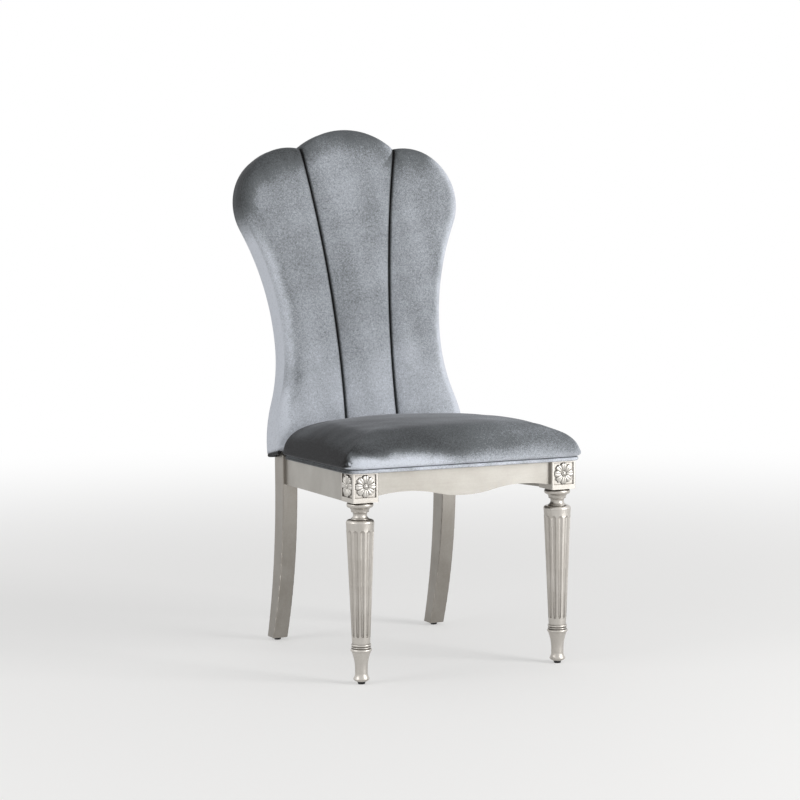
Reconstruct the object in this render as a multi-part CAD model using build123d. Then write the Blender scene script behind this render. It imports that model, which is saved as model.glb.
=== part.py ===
from build123d import *
import os
from math import atan2, cos, degrees, hypot, pi, radians, sin, sqrt, tan

# Upholstered dining chair, in millimetres, +Z up.
# It faces -Y, and left and right are as seen from the front, so left is on -X.
# While it is built, Y is 0 at the axes of the front legs and Z is 0 on the floor.

# Seat frame
FRAME_HEIGHT = 440.0  # floor to the top of the front blocks
SEAT_PITCH = 1.5  # degrees that the seat frame falls towards the back
FRONT_LEG_SPACING = 466.0  # between the axes of the front legs
REAR_LEG_SPACING = 400.0  # between the middles of the rear legs
FRAME_DEPTH = 444.0  # axes of the front legs to the front faces of the rear legs
APRON_THICKNESS = 22.0
APRON_DEPTH = 62.0
APRON_SETBACK = 10.0  # front and side aprons behind the faces of the blocks
SIDE_APRON_INSET = 7.0  # side aprons inside the outer faces of the rear legs
REAR_APRON_SETBACK = 8.0  # rear apron behind the front faces of the rear legs
SCALLOP_CENTRE_DEPTH = 58.5  # front apron's depth at its middle
SCALLOP_CREST_DEPTH = 42.5  # its depth at the two crests
SCALLOP_END_DEPTH = 49.0  # its depth beside the blocks
SCALLOP_CREST_INSET = 69.0  # crests in from the ends of the front apron

# Front leg blocks and rosettes
BLOCK_SIDE = 58.0
BLOCK_HEIGHT = 60.0
BLOCK_CHAMFER = 1.5
FIELD_BORDER = 5.0  # frame left beside the sunk field of a block
FIELD_RISE = 4.0  # field's middle above the block's middle
FIELD_DEPTH = 2.5
ROSETTE_MARGIN = 1.0  # field's edge to the tips of the petals
ROSETTE_BASE = 1.2  # thickness of the disc under the petals
PETAL_COUNT = 8
PETAL_ROOT = 4.0  # petals start this far from the middle
PETAL_HALF_WIDTH = 4.8
BOSS_RADIUS = 5.0
BOSS_RISE = 4.6  # above the field

# Turned part of the front legs, from the block down to the glide
RECESS_RADIUS = 24.8  # shallow recess under the block
RECESS_HEIGHT = 2.0
ROLL_RADIUS = 25.4  # half-round roll under the recess
ROLL_HEIGHT = 9.5
ROLL_SWELL = 2.5
DISH_TOP_RADIUS = 23.2
DISH_FOOT_RADIUS = 18.4
DISH_HEIGHT = 8.0
DISH_HOLLOW = 0.9
NECK_RING_RADIUS = 17.9
NECK_RING_HEIGHT = 2.0
NECK_RING_SWELL = 0.8
NECK_HEIGHT = 13.0
NECK_TOP_RADIUS = 16.2
NECK_FOOT_RADIUS = 17.8
NECK_HOLLOW = 2.6
COLLAR_RADIUS = 18.6
COLLAR_HEIGHT = 3.0
COLLAR_SWELL = 0.9
SHAFT_TOP_RADIUS = 29.2
SHAFT_FOOT_RADIUS = 18.8
SHOULDER_RADIUS = 25.4
SHOULDER_HEIGHT = 7.5
SHOULDER_SWELL = 1.6
UPPER_RING_HEIGHT = 4.5
UPPER_RING_RADIUS = 19.4
UPPER_RING_SWELL = 1.5
MIDDLE_RING_HEIGHT = 3.0
MIDDLE_RING_RADIUS = 19.2
MIDDLE_RING_SWELL = 1.2
RING_GROOVE_HEIGHT = 1.2
RING_GROOVE_RADIUS = 18.4
LOWER_RING_HEIGHT = 6.0
LOWER_RING_RADIUS = 20.4
LOWER_RING_SWELL = 1.9
LOWER_RING_LEVEL = 68.5  # underside of the lower ring above the floor
ANKLE_RADIUS = 13.4
ANKLE_LEVEL = 26.0  # slimmest place above the floor
COVE_TOP_RADIUS = 20.2
COVE_HOLLOW = 2.3
LIP_RADIUS = 17.2
LIP_LEVEL = 11.5
LIP_HOLLOW = 1.5
FOOT_RADIUS = 11.5
FOOT_SWELL = 1.0
FLUTE_COUNT = 12
FLUTE_LAND = 4.4  # flat left between two flutes
FLUTE_DEPTH = 2.6
FLUTE_TOP_GAP = 12.0  # top of the shaft to the ends of the flutes
FLUTE_FOOT_GAP = 14.0  # foot of the shaft to the ends of the flutes

# Rear legs
REAR_LEG_WIDTH = 36.0
REAR_LEG_DEPTH = 47.0
REAR_FOOT_DEPTH = 35.0
REAR_SWEEP = 67.5  # front of the foot behind the front of the leg at the seat
REAR_LEG_ROUND = 2.5
SOLE_CHAMFER = 1.2  # round the foot of a rear leg, so that it does not split
SHOULDER_RISE = 4.0  # leg's shoulder above the seat frame
POST_SETBACK = 1.3  # post behind the front face of the leg
POST_WIDTH = 32.0
POST_WAIST_INSET = 14.0  # post inside the outline at the waist
TENON_WIDTH = 18.0
TENON_THICKNESS = 16.0
TENON_LENGTH = 34.0
TENON_CLEARANCE = 0.2

# Glides
GLIDE_HEIGHT = 6.0
GLIDE_TOP_RADIUS = 9.0
GLIDE_FOOT_RADIUS = 7.0
NAIL_RADIUS = 1.5
NAIL_LENGTH = 18.0
NAIL_CLEARANCE = 0.1

# Joinery
DOWEL_RADIUS = 4.0
DOWEL_DEPTH = 18.0  # into each of the two pieces
DOWEL_CLEARANCE = 0.1
DOWEL_UPPER_DROP = 15.0  # upper dowel below the top of the frame
DOWEL_SPACING = 22.0
DOWEL_STAGGER = 11.0  # rear apron's dowels below those of the side aprons
CORNER_BLOCK_THICKNESS = 25.0
CORNER_BLOCK_REACH = 56.0  # along each apron from the leg
SCREW_RADIUS = 2.2
SCREW_HEAD_RADIUS = 4.2
SCREW_HEAD_HEIGHT = 2.8
SCREW_BITE = 14.0  # depth in the piece that it holds
SCREW_CLEARANCE = 0.1
BOARD_SCREW_BITE = 7.0

# Seat
SEAT_OVERHANG = 16.0  # cover beyond the faces of the front blocks
SEAT_FRONT_OVERHANG = 15.0
SEAT_REAR_OVERHANG = 20.0  # cover beyond the outer faces of the rear legs
SEAT_FRONT_CORNER = 34.0
SEAT_REAR_CORNER = 34.0
SEAT_HEIGHT = 101.0  # frame to the top of the crown
SEAT_CROWN_RADIUS = 1300.0
SEAT_ROLL = 32.0  # rounding of the upper edge
SEAT_TUCK = 6.0  # rounding of the lower edge, over the welt
SEAT_BACK_CLEARANCE = 0.5
BOARD_THICKNESS = 9.0
BOARD_INSET = 13.0  # board inside the cover
BOARD_LEG_GAP = 3.0  # board's tongue inside the rear legs
BOARD_BEARING = 5.0  # board's tongue on the rear apron
WELT_RADIUS = 4.5
WELT_CLEARANCE = 0.2
VELVET = 1.8
DUST_COVER_THICKNESS = 0.8
DUST_COVER_CLEARANCE = 0.5

# Back, measured up the leaning back from the lower edge of its upholstery
BACK_LEAN = 11.0  # degrees
BACK_OVERHANG = 19.0  # upholstery beyond the outer faces of the rear legs
WAIST_HALF_WIDTH = 196.0
WAIST_LEVEL = 241.0
WAIST_LOWER_RADIUS = 390.0
LOBE_RADIUS = 126.0  # side lobes
LOBE_CENTRE_OUT = 144.0
LOBE_CENTRE_LEVEL = 564.0
VALLEY_HALF_WIDTH = 118.0  # where the centre lobe meets the side lobes
CENTRE_LOBE_LEVEL = 732.0
SEAM_FOOT_HALF_WIDTH = 66.0
SEAM_BOW = 20.0
SEAM_GAP = 0.6
PAD_CROWN = 25.0
PAD_SEAM_DEPTH = 13.0  # padding left at the seams
PAD_EDGE_DEPTH = 12.0  # padding left at the outline
PAD_ROLL = 9.0
PAD_MARGIN = 6.0  # crowned face beyond the lobe's edge, before it is trimmed
PANEL_THICKNESS = 12.0
FRAME_THICKNESS = 36.0  # posts and rails of the back
BAND_THICKNESS = 2.0
BAND_CLEARANCE = 0.3
OUTSIDE_BOARD_THICKNESS = 3.5
OUTSIDE_COVER_THICKNESS = 1.5
HEM_RADIUS = 4.0
HEM_CLEARANCE = 0.2
HEM_CORNER = 14.0
HEM_FRONT = 18.0  # ends of the hem's piping in front of the back panel
BOTTOM_CLOTH_THICKNESS = 1.0
BOTTOM_CLOTH_CLEARANCE = 0.4
CREST_LEVEL = 500.0  # lower edge of the crest rail
LOWER_RAIL_LEVEL = 12.0
LOWER_RAIL_HEIGHT = 60.0
RAIL_DOWEL_INSET = 15.0  # dowels from the edges of the lower rail
PANEL_SCREW_LEVELS = (96.0, 241.0, 430.0)  # up the posts
CREST_SCREW_OUT = 190.0
CREST_SCREW_LEVEL = 600.0

# Worked out from the sizes above
EXTENT = 4.0 * FRAME_HEIGHT  # larger than the chair, for cutting planes
PITCH = radians(SEAT_PITCH)
LEAN = radians(BACK_LEAN)
TILT = LEAN - PITCH
FRONT_X = FRONT_LEG_SPACING / 2
REAR_X = REAR_LEG_SPACING / 2
HALF_BLOCK = BLOCK_SIDE / 2
BLOCK_FOOT = FRAME_HEIGHT - BLOCK_HEIGHT
FIELD_SIDE = BLOCK_SIDE - 2 * FIELD_BORDER
REAR_OUTER_X = REAR_X + REAR_LEG_WIDTH / 2
REAR_INNER_X = REAR_X - REAR_LEG_WIDTH / 2
FRONT_APRON_FACE = APRON_SETBACK - HALF_BLOCK
FRONT_APRON_REAR = FRONT_APRON_FACE + APRON_THICKNESS
REAR_APRON_FRONT = FRAME_DEPTH + REAR_APRON_SETBACK
HEM_DROP = 2 * (HEM_RADIUS + HEM_CLEARANCE)
WELT_TOP = 2 * (WELT_RADIUS + WELT_CLEARANCE)


def frame_top(y):
    """Height of the seat frame's top above the floor, y behind the front leg axes."""
    return FRAME_HEIGHT - y * tan(PITCH)


SHOULDER_Y = FRAME_DEPTH + POST_SETBACK
SHOULDER_Z = frame_top(SHOULDER_Y) + SHOULDER_RISE
BACK_Y = SHOULDER_Y + HEM_DROP * sin(LEAN) - PANEL_THICKNESS * cos(LEAN)
BACK_Z = SHOULDER_Z + HEM_DROP * cos(LEAN) + PANEL_THICKNESS * sin(LEAN)
FRAME_BACK = -PANEL_THICKNESS - FRAME_THICKNESS
FRAME_MIDDLE = -PANEL_THICKNESS - FRAME_THICKNESS / 2
BACK_REAR = FRAME_BACK - OUTSIDE_BOARD_THICKNESS - OUTSIDE_COVER_THICKNESS
BACK_HALF_WIDTH = REAR_OUTER_X + BACK_OVERHANG
POST_WAIST_OUT = WAIST_HALF_WIDTH - POST_WAIST_INSET
VALLEY_OFFSET = LOBE_CENTRE_OUT - VALLEY_HALF_WIDTH
VALLEY_LEVEL = LOBE_CENTRE_LEVEL + sqrt(LOBE_RADIUS**2 - VALLEY_OFFSET**2)

# The seat frame's top face, with y towards the back, and the back panel's front face,
# with y up the back and z towards the sitter.
SEAT = Plane(origin=(0, 0, FRAME_HEIGHT), x_dir=(1, 0, 0), z_dir=(0, sin(PITCH), cos(PITCH)))
BACK = Plane(origin=(0, BACK_Y, BACK_Z), x_dir=(1, 0, 0), z_dir=(0, -cos(LEAN), sin(LEAN)))
ABOVE_SEAT_FRAME = SEAT * Pos(0, 0, EXTENT / 2) * Box(EXTENT, EXTENT, EXTENT)
LEFT = -1
RIGHT = 1
SIDE_NAMES = {LEFT: "left", RIGHT: "right"}


def bowed(start, end, rise):
    """Arc whose middle stands rise to the right of the straight line from start to end."""
    dx = end[0] - start[0]
    dy = end[1] - start[1]
    span = hypot(dx, dy)
    middle = ((start[0] + end[0]) / 2 + rise * dy / span, (start[1] + end[1]) / 2 - rise * dx / span)
    return ThreePointArc(start, middle, end)


def face_of(lines):
    """Flat face inside a closed run of lines and arcs."""
    return make_face([edge for line in lines for edge in line.edges()])


def polygon(points):
    """Flat face with the given corners."""
    return make_face(Polyline(*points, close=True).edges())


def upright(face, low, high):
    """Prism over a face drawn in plan, between two heights."""
    return extrude(Pos(0, 0, low) * face, amount=high - low)


def seat_slab(depth):
    """Layer under the seat frame's top face."""
    return SEAT * Pos(0, 0, -depth / 2) * Box(EXTENT, EXTENT, depth)


def rod(start, end, radius):
    """Round bar between two points."""
    axis = Vector(*end) - Vector(*start)
    return Plane(origin=start, z_dir=axis) * Pos(0, 0, axis.length / 2) * Cylinder(radius, axis.length)


def countersunk_screw(head, tip, clearance=0.0):
    """Screw from the middle of its head's face to its tip, or the hole for it."""
    axis = Vector(*tip) - Vector(*head)
    rim = SCREW_HEAD_RADIUS + clearance
    shank = SCREW_RADIUS + clearance
    outline = [
        (0, 0),
        (rim, 0),
        (shank, SCREW_HEAD_HEIGHT),
        (shank, axis.length + clearance),
        (0, axis.length + clearance),
    ]
    return Plane(origin=head, z_dir=axis) * revolve(Plane.XZ * polygon(outline), Axis.Z)


def screw_hole(head, tip):
    """Hole for a countersunk screw, open above its head."""
    axis = (Vector(*tip) - Vector(*head)).normalized()
    mouth = Vector(*head) - axis * CORNER_BLOCK_THICKNESS
    opening = rod(mouth, Vector(*head), SCREW_HEAD_RADIUS + SCREW_CLEARANCE)
    return countersunk_screw(head, tip, SCREW_CLEARANCE) + opening


# Front legs
def shaft_radius(z):
    """Radius of the tapered shaft at height z."""
    share = (z - SHAFT_FOOT) / (SHAFT_TOP - SHAFT_FOOT)
    return SHAFT_FOOT_RADIUS + share * (SHAFT_TOP_RADIUS - SHAFT_FOOT_RADIUS)


LOWER_RING_TOP = LOWER_RING_LEVEL + LOWER_RING_HEIGHT
MIDDLE_RING_LEVEL = LOWER_RING_TOP + RING_GROOVE_HEIGHT
MIDDLE_RING_TOP = MIDDLE_RING_LEVEL + MIDDLE_RING_HEIGHT
UPPER_RING_LEVEL = MIDDLE_RING_TOP + RING_GROOVE_HEIGHT
SHAFT_FOOT = UPPER_RING_LEVEL + UPPER_RING_HEIGHT
ROLL_TOP = BLOCK_FOOT - RECESS_HEIGHT
DISH_TOP = ROLL_TOP - ROLL_HEIGHT
NECK_RING_TOP = DISH_TOP - DISH_HEIGHT
NECK_TOP = NECK_RING_TOP - NECK_RING_HEIGHT
COLLAR_TOP = NECK_TOP - NECK_HEIGHT
SHOULDER_TOP = COLLAR_TOP - COLLAR_HEIGHT
SHAFT_TOP = SHOULDER_TOP - SHOULDER_HEIGHT


def bead(radius, low, high, swell):
    """Half-round side of a turned ring between two heights."""
    return bowed((radius, low), (radius, high), swell)


def turned_leg():
    """Turned part of a front leg, from the glide up into the block."""
    core = [(RECESS_RADIUS, BLOCK_FOOT), (0, BLOCK_FOOT), (0, GLIDE_HEIGHT), (FOOT_RADIUS, GLIDE_HEIGHT)]
    lines = [
        Polyline(*core),
        bowed((FOOT_RADIUS, GLIDE_HEIGHT), (LIP_RADIUS, LIP_LEVEL), FOOT_SWELL),
        bowed((LIP_RADIUS, LIP_LEVEL), (ANKLE_RADIUS, ANKLE_LEVEL), -LIP_HOLLOW),
        bowed((ANKLE_RADIUS, ANKLE_LEVEL), (COVE_TOP_RADIUS, LOWER_RING_LEVEL), -COVE_HOLLOW),
        Line((COVE_TOP_RADIUS, LOWER_RING_LEVEL), (LOWER_RING_RADIUS, LOWER_RING_LEVEL)),
        bead(LOWER_RING_RADIUS, LOWER_RING_LEVEL, LOWER_RING_TOP, LOWER_RING_SWELL),
        Polyline(
            (LOWER_RING_RADIUS, LOWER_RING_TOP),
            (RING_GROOVE_RADIUS, LOWER_RING_TOP),
            (RING_GROOVE_RADIUS, MIDDLE_RING_LEVEL),
            (MIDDLE_RING_RADIUS, MIDDLE_RING_LEVEL),
        ),
        bead(MIDDLE_RING_RADIUS, MIDDLE_RING_LEVEL, MIDDLE_RING_TOP, MIDDLE_RING_SWELL),
        Polyline(
            (MIDDLE_RING_RADIUS, MIDDLE_RING_TOP),
            (RING_GROOVE_RADIUS, MIDDLE_RING_TOP),
            (RING_GROOVE_RADIUS, UPPER_RING_LEVEL),
            (UPPER_RING_RADIUS, UPPER_RING_LEVEL),
        ),
        bead(UPPER_RING_RADIUS, UPPER_RING_LEVEL, SHAFT_FOOT, UPPER_RING_SWELL),
        Polyline(
            (UPPER_RING_RADIUS, SHAFT_FOOT),
            (SHAFT_FOOT_RADIUS, SHAFT_FOOT),
            (SHAFT_TOP_RADIUS, SHAFT_TOP),
        ),
        bowed((SHAFT_TOP_RADIUS, SHAFT_TOP), (SHOULDER_RADIUS, SHOULDER_TOP), SHOULDER_SWELL),
        Line((SHOULDER_RADIUS, SHOULDER_TOP), (COLLAR_RADIUS, SHOULDER_TOP)),
        bead(COLLAR_RADIUS, SHOULDER_TOP, COLLAR_TOP, COLLAR_SWELL),
        Line((COLLAR_RADIUS, COLLAR_TOP), (NECK_FOOT_RADIUS, COLLAR_TOP)),
        bowed((NECK_FOOT_RADIUS, COLLAR_TOP), (NECK_TOP_RADIUS, NECK_TOP), -NECK_HOLLOW),
        Line((NECK_TOP_RADIUS, NECK_TOP), (NECK_RING_RADIUS, NECK_TOP)),
        bead(NECK_RING_RADIUS, NECK_TOP, NECK_RING_TOP, NECK_RING_SWELL),
        Line((NECK_RING_RADIUS, NECK_RING_TOP), (DISH_FOOT_RADIUS, NECK_RING_TOP)),
        bowed((DISH_FOOT_RADIUS, NECK_RING_TOP), (DISH_TOP_RADIUS, DISH_TOP), -DISH_HOLLOW),
        Line((DISH_TOP_RADIUS, DISH_TOP), (ROLL_RADIUS, DISH_TOP)),
        bead(ROLL_RADIUS, DISH_TOP, ROLL_TOP, ROLL_SWELL),
        Polyline((ROLL_RADIUS, ROLL_TOP), (RECESS_RADIUS, ROLL_TOP), (RECESS_RADIUS, BLOCK_FOOT)),
    ]
    return revolve(Plane.XZ * face_of(lines), Axis.Z)


def cutter_radius(z):
    """Radius of the round cutter that leaves the land between two flutes at height z."""
    half_width = (2 * pi * shaft_radius(z) / FLUTE_COUNT - FLUTE_LAND) / 2
    return (half_width**2 + FLUTE_DEPTH**2) / (2 * FLUTE_DEPTH)


def flute_cutters():
    """Tapered cutters with rounded ends, one for each flute, standing round the shaft."""
    foot_run = sqrt(2 * cutter_radius(SHAFT_FOOT) * FLUTE_DEPTH)
    top_run = sqrt(2 * cutter_radius(SHAFT_TOP) * FLUTE_DEPTH)
    foot = SHAFT_FOOT + FLUTE_FOOT_GAP + foot_run
    top = SHAFT_TOP - FLUTE_TOP_GAP - top_run
    foot_radius = cutter_radius(foot)
    top_radius = cutter_radius(top)
    foot_out = shaft_radius(foot) + foot_radius - FLUTE_DEPTH
    top_out = shaft_radius(top) + top_radius - FLUTE_DEPTH
    length = hypot(top - foot, top_out - foot_out)
    lean = degrees(atan2(top_out - foot_out, top - foot))
    foot_slant = foot_radius * sqrt(0.5)
    top_slant = top_radius * sqrt(0.5)
    lines = [
        Line((0, length + top_radius), (0, -foot_radius)),
        ThreePointArc((0, -foot_radius), (foot_slant, -foot_slant), (foot_radius, 0)),
        Line((foot_radius, 0), (top_radius, length)),
        ThreePointArc((top_radius, length), (top_slant, length + top_slant), (0, length + top_radius)),
    ]
    cutter = Pos(foot_out, 0, foot) * Rot(0, lean, 0) * revolve(Plane.XZ * face_of(lines), Axis.Z)
    return [Rot(0, 0, (i + 0.5) * 360 / FLUTE_COUNT) * cutter for i in range(FLUTE_COUNT)]


def block_faces(side):
    """Planes on a block's front and outer faces, facing outwards, for the left or right leg."""
    middle = BLOCK_FOOT + BLOCK_HEIGHT / 2 + FIELD_RISE
    front = Plane(origin=(side * FRONT_X, -HALF_BLOCK, middle), x_dir=(1, 0, 0), z_dir=(0, -1, 0))
    outer = Plane(origin=(side * (FRONT_X + HALF_BLOCK), 0, middle), x_dir=(0, side, 0), z_dir=(side, 0, 0))
    return {"front": front, "side": outer}


def front_leg(side):
    """Block with sunk fields, on a turned and fluted leg, with holes for dowels and nail."""
    height = BLOCK_HEIGHT + HALF_BLOCK
    block = Box(BLOCK_SIDE, BLOCK_SIDE, height)
    block = chamfer(block.edges().filter_by(Axis.Z), BLOCK_CHAMFER)
    block = Pos(0, 0, BLOCK_FOOT + height / 2) * block
    turning = Rot(0, 0, 180 / FLUTE_COUNT) * turned_leg()  # its seam lies in a flute, which cuts it away
    leg = Pos(side * FRONT_X, 0, 0) * (turning - flute_cutters() + block) - ABOVE_SEAT_FRAME
    for plane in block_faces(side).values():
        leg -= plane * Box(FIELD_SIDE, FIELD_SIDE, 2 * FIELD_DEPTH)
    leg -= [dowel_hole(dowel) for dowel in front_apron_dowels(side) + side_apron_dowels(side)]
    return leg - nail(side * FRONT_X, 0, NAIL_CLEARANCE)


def rosette():
    """Flower of spindle-shaped petals round a boss, on a disc, lying on z = 0."""
    tip = FIELD_SIDE / 2 - ROSETTE_MARGIN
    petal_lines = [Line((tip, 0), (PETAL_ROOT, 0)), bowed((PETAL_ROOT, 0), (tip, 0), -PETAL_HALF_WIDTH)]
    petal = revolve(face_of(petal_lines), Axis.X)
    flower = Pos(0, 0, ROSETTE_BASE / 2) * Cylinder(tip - ROSETTE_MARGIN, ROSETTE_BASE)
    for i in range(PETAL_COUNT):
        flower += Rot(0, 0, i * 360 / PETAL_COUNT) * petal
    ball = (BOSS_RADIUS**2 + BOSS_RISE**2) / (2 * BOSS_RISE)
    flower += Pos(0, 0, BOSS_RISE - ball) * Sphere(ball)
    return flower - Pos(0, 0, -EXTENT / 2) * Box(EXTENT, EXTENT, EXTENT)


# Rear legs
def rear_leg(side):
    """Sabre leg with its back post above the shoulder, tenoned at the top."""
    knee = frame_top(FRAME_DEPTH) - APRON_DEPTH
    crown = FRAME_HEIGHT + SHOULDER_RISE
    rear = FRAME_DEPTH + REAR_LEG_DEPTH
    foot_front = FRAME_DEPTH + REAR_SWEEP
    foot_rear = foot_front + REAR_FOOT_DEPTH
    front_arc = TangentArc((FRAME_DEPTH, knee), (foot_front, GLIDE_HEIGHT), tangent=(0, -1))
    rear_arc = TangentArc((rear, knee), (foot_rear, GLIDE_HEIGHT), tangent=(0, -1))
    front_toe = front_arc @ 1 + (front_arc % 1) * GLIDE_HEIGHT
    rear_toe = rear_arc @ 1 + (rear_arc % 1) * GLIDE_HEIGHT
    lines = [
        Polyline((FRAME_DEPTH, knee), (FRAME_DEPTH, crown), (rear, crown), (rear, knee)),
        front_arc,
        rear_arc,
        Polyline(front_arc @ 1, front_toe, rear_toe, rear_arc @ 1),
    ]
    plank = Plane.YZ.offset(REAR_INNER_X) * face_of(lines)
    leg = extrude(plank, amount=REAR_LEG_WIDTH)
    flanks = leg.faces().sort_by(Axis.X)
    long_edges = [
        edge
        for flank in (flanks[0], flanks[-1])
        for edge in flank.edges()
        if abs((edge % 0.5).Z) > abs((edge % 0.5).Y)
    ]
    leg = fillet(long_edges, REAR_LEG_ROUND)
    leg -= Pos(0, 0, GLIDE_HEIGHT - EXTENT / 2) * Box(EXTENT, EXTENT, EXTENT)
    leg = chamfer(leg.faces().sort_by(Axis.Z)[0].outer_wire().edges(), SOLE_CHAMFER)
    leg -= BACK * Pos(0, EXTENT / 2 - HEM_DROP, 0) * Box(EXTENT, EXTENT, EXTENT)
    leg += BACK * back_post()
    if side == LEFT:
        leg = mirror(leg, about=Plane.YZ)
    leg -= [dowel_hole(dowel) for dowel in side_apron_rear_dowels(side) + rear_apron_dowels(side)]
    leg -= [dowel_hole(dowel) for dowel in rail_dowels(side)]
    leg -= [BACK * panel_screw_hole(side * post_middle(v), v) for v in PANEL_SCREW_LEVELS]
    return leg - nail(side * REAR_X, rear_foot_middle(), NAIL_CLEARANCE)


def rear_foot_middle():
    """Middle of a rear foot behind the front leg axes."""
    return FRAME_DEPTH + REAR_SWEEP + REAR_FOOT_DEPTH / 2


def post_middle(level):
    """Middle of the right post out from the centre line, at a level up the back."""
    foot = REAR_X
    waist = POST_WAIST_OUT - POST_WIDTH / 2
    share = min(level / WAIST_LEVEL, 1)
    return foot + share * (waist - foot)


def back_post():
    """Right post, which leans in to the waist and then runs straight up, in the back's own plane."""
    half = POST_WIDTH / 2
    foot = post_middle(0)
    waist = post_middle(WAIST_LEVEL)
    corners = [
        (foot - half, -HEM_DROP),
        (foot + half, -HEM_DROP),
        (foot + half, 0),
        (waist + half, WAIST_LEVEL),
        (waist + half, CREST_LEVEL),
        (waist - half, CREST_LEVEL),
        (waist - half, WAIST_LEVEL),
        (foot - half, 0),
    ]
    post = upright(polygon(corners), FRAME_BACK, -PANEL_THICKNESS)
    return post + tenon(1, 0)


def tenon(side, clearance):
    """Tenon on top of a post, or the mortise for it in the crest rail."""
    length = TENON_LENGTH + clearance
    middle = Pos(side * post_middle(CREST_LEVEL), CREST_LEVEL + length / 2, FRAME_MIDDLE)
    return middle * Box(TENON_WIDTH + 2 * clearance, length, TENON_THICKNESS + 2 * clearance)


# Aprons and corner blocks
def apron_outer_x(y):
    """Outer face of a side apron out from the centre line, y behind the front leg axes."""
    front = FRONT_X + HALF_BLOCK - APRON_SETBACK
    rear = REAR_OUTER_X - SIDE_APRON_INSET
    return front + (rear - front) * (y - HALF_BLOCK) / (FRAME_DEPTH - HALF_BLOCK)


def apron_inner_x(y):
    """Inner face of a side apron out from the centre line."""
    run = FRAME_DEPTH - HALF_BLOCK
    slant = hypot(run, apron_outer_x(HALF_BLOCK) - apron_outer_x(FRAME_DEPTH)) / run
    return apron_outer_x(y) - APRON_THICKNESS * slant


def side_apron(side):
    """Plain board from the front block to the rear leg, following the seat's taper."""
    corners = [
        (side * apron_outer_x(HALF_BLOCK), HALF_BLOCK),
        (side * apron_outer_x(FRAME_DEPTH), FRAME_DEPTH),
        (side * apron_inner_x(FRAME_DEPTH), FRAME_DEPTH),
        (side * apron_inner_x(HALF_BLOCK), HALF_BLOCK),
    ]
    apron = upright(polygon(corners), 0, EXTENT) & seat_slab(APRON_DEPTH)
    apron -= [dowel_hole(dowel) for dowel in side_apron_dowels(side) + side_apron_rear_dowels(side)]
    return apron - [screw_hole(*ends) for ends in corner_screws(side)]


def front_apron():
    """Board between the blocks, with a lower edge that dips in the middle and rises to two crests."""
    end = FRONT_X - HALF_BLOCK
    crest = end - SCALLOP_CREST_INSET
    dips = (SCALLOP_CENTRE_DEPTH, SCALLOP_CREST_DEPTH, SCALLOP_END_DEPTH)
    centre_z, crest_z, end_z = (FRAME_HEIGHT - dip for dip in dips)
    crown = FRAME_HEIGHT + HALF_BLOCK
    turn = (crest / 2, (centre_z + crest_z) / 2)
    lines = [Polyline((-end, end_z), (-end, crown), (end, crown), (end, end_z))]
    for side in (LEFT, RIGHT):
        lines += [
            TangentArc((0, centre_z), (side * turn[0], turn[1]), tangent=(side, 0)),
            TangentArc((side * crest, crest_z), (side * turn[0], turn[1]), tangent=(-side, 0)),
            TangentArc((side * crest, crest_z), (side * end, end_z), tangent=(side, 0)),
        ]
    face = Plane.XZ.offset(-FRONT_APRON_FACE) * face_of(lines)
    apron = extrude(face, amount=-APRON_THICKNESS) - ABOVE_SEAT_FRAME
    apron -= [dowel_hole(dowel) for side in (LEFT, RIGHT) for dowel in front_apron_dowels(side)]
    return apron - [screw_hole(*ends) for side in (LEFT, RIGHT) for ends in corner_screws(side)]


def rear_apron():
    """Plain board between the rear legs."""
    corners = [
        (-REAR_INNER_X, REAR_APRON_FRONT),
        (REAR_INNER_X, REAR_APRON_FRONT),
        (REAR_INNER_X, REAR_APRON_FRONT + APRON_THICKNESS),
        (-REAR_INNER_X, REAR_APRON_FRONT + APRON_THICKNESS),
    ]
    apron = upright(polygon(corners), 0, EXTENT) & seat_slab(APRON_DEPTH)
    apron -= [dowel_hole(dowel) for side in (LEFT, RIGHT) for dowel in rear_apron_dowels(side)]
    return apron - [screw_hole(*ends) for side in (LEFT, RIGHT) for ends in corner_screws(side)]


def corner_points(side, rear):
    """Plan of a corner block: along the cross apron, round the leg's corner, along the side apron."""
    leg_x = REAR_INNER_X if rear else FRONT_X - HALF_BLOCK
    leg_y = FRAME_DEPTH if rear else HALF_BLOCK
    apron_y = REAR_APRON_FRONT if rear else FRONT_APRON_REAR
    side_y = leg_y - CORNER_BLOCK_REACH if rear else leg_y + CORNER_BLOCK_REACH
    return [
        (side * (leg_x - CORNER_BLOCK_REACH), apron_y),
        (side * leg_x, apron_y),
        (side * leg_x, leg_y),
        (side * apron_inner_x(leg_y), leg_y),
        (side * apron_inner_x(side_y), side_y),
    ]


def corner_block(side, rear):
    """Block glued and screwed into a corner of the frame, notched round the leg."""
    block = upright(polygon(corner_points(side, rear)), 0, EXTENT) & seat_slab(CORNER_BLOCK_THICKNESS)
    block -= [screw_hole(*ends) for ends in corner_screws(side)]
    return block - screw_hole(*seat_screw(side, rear))


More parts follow.
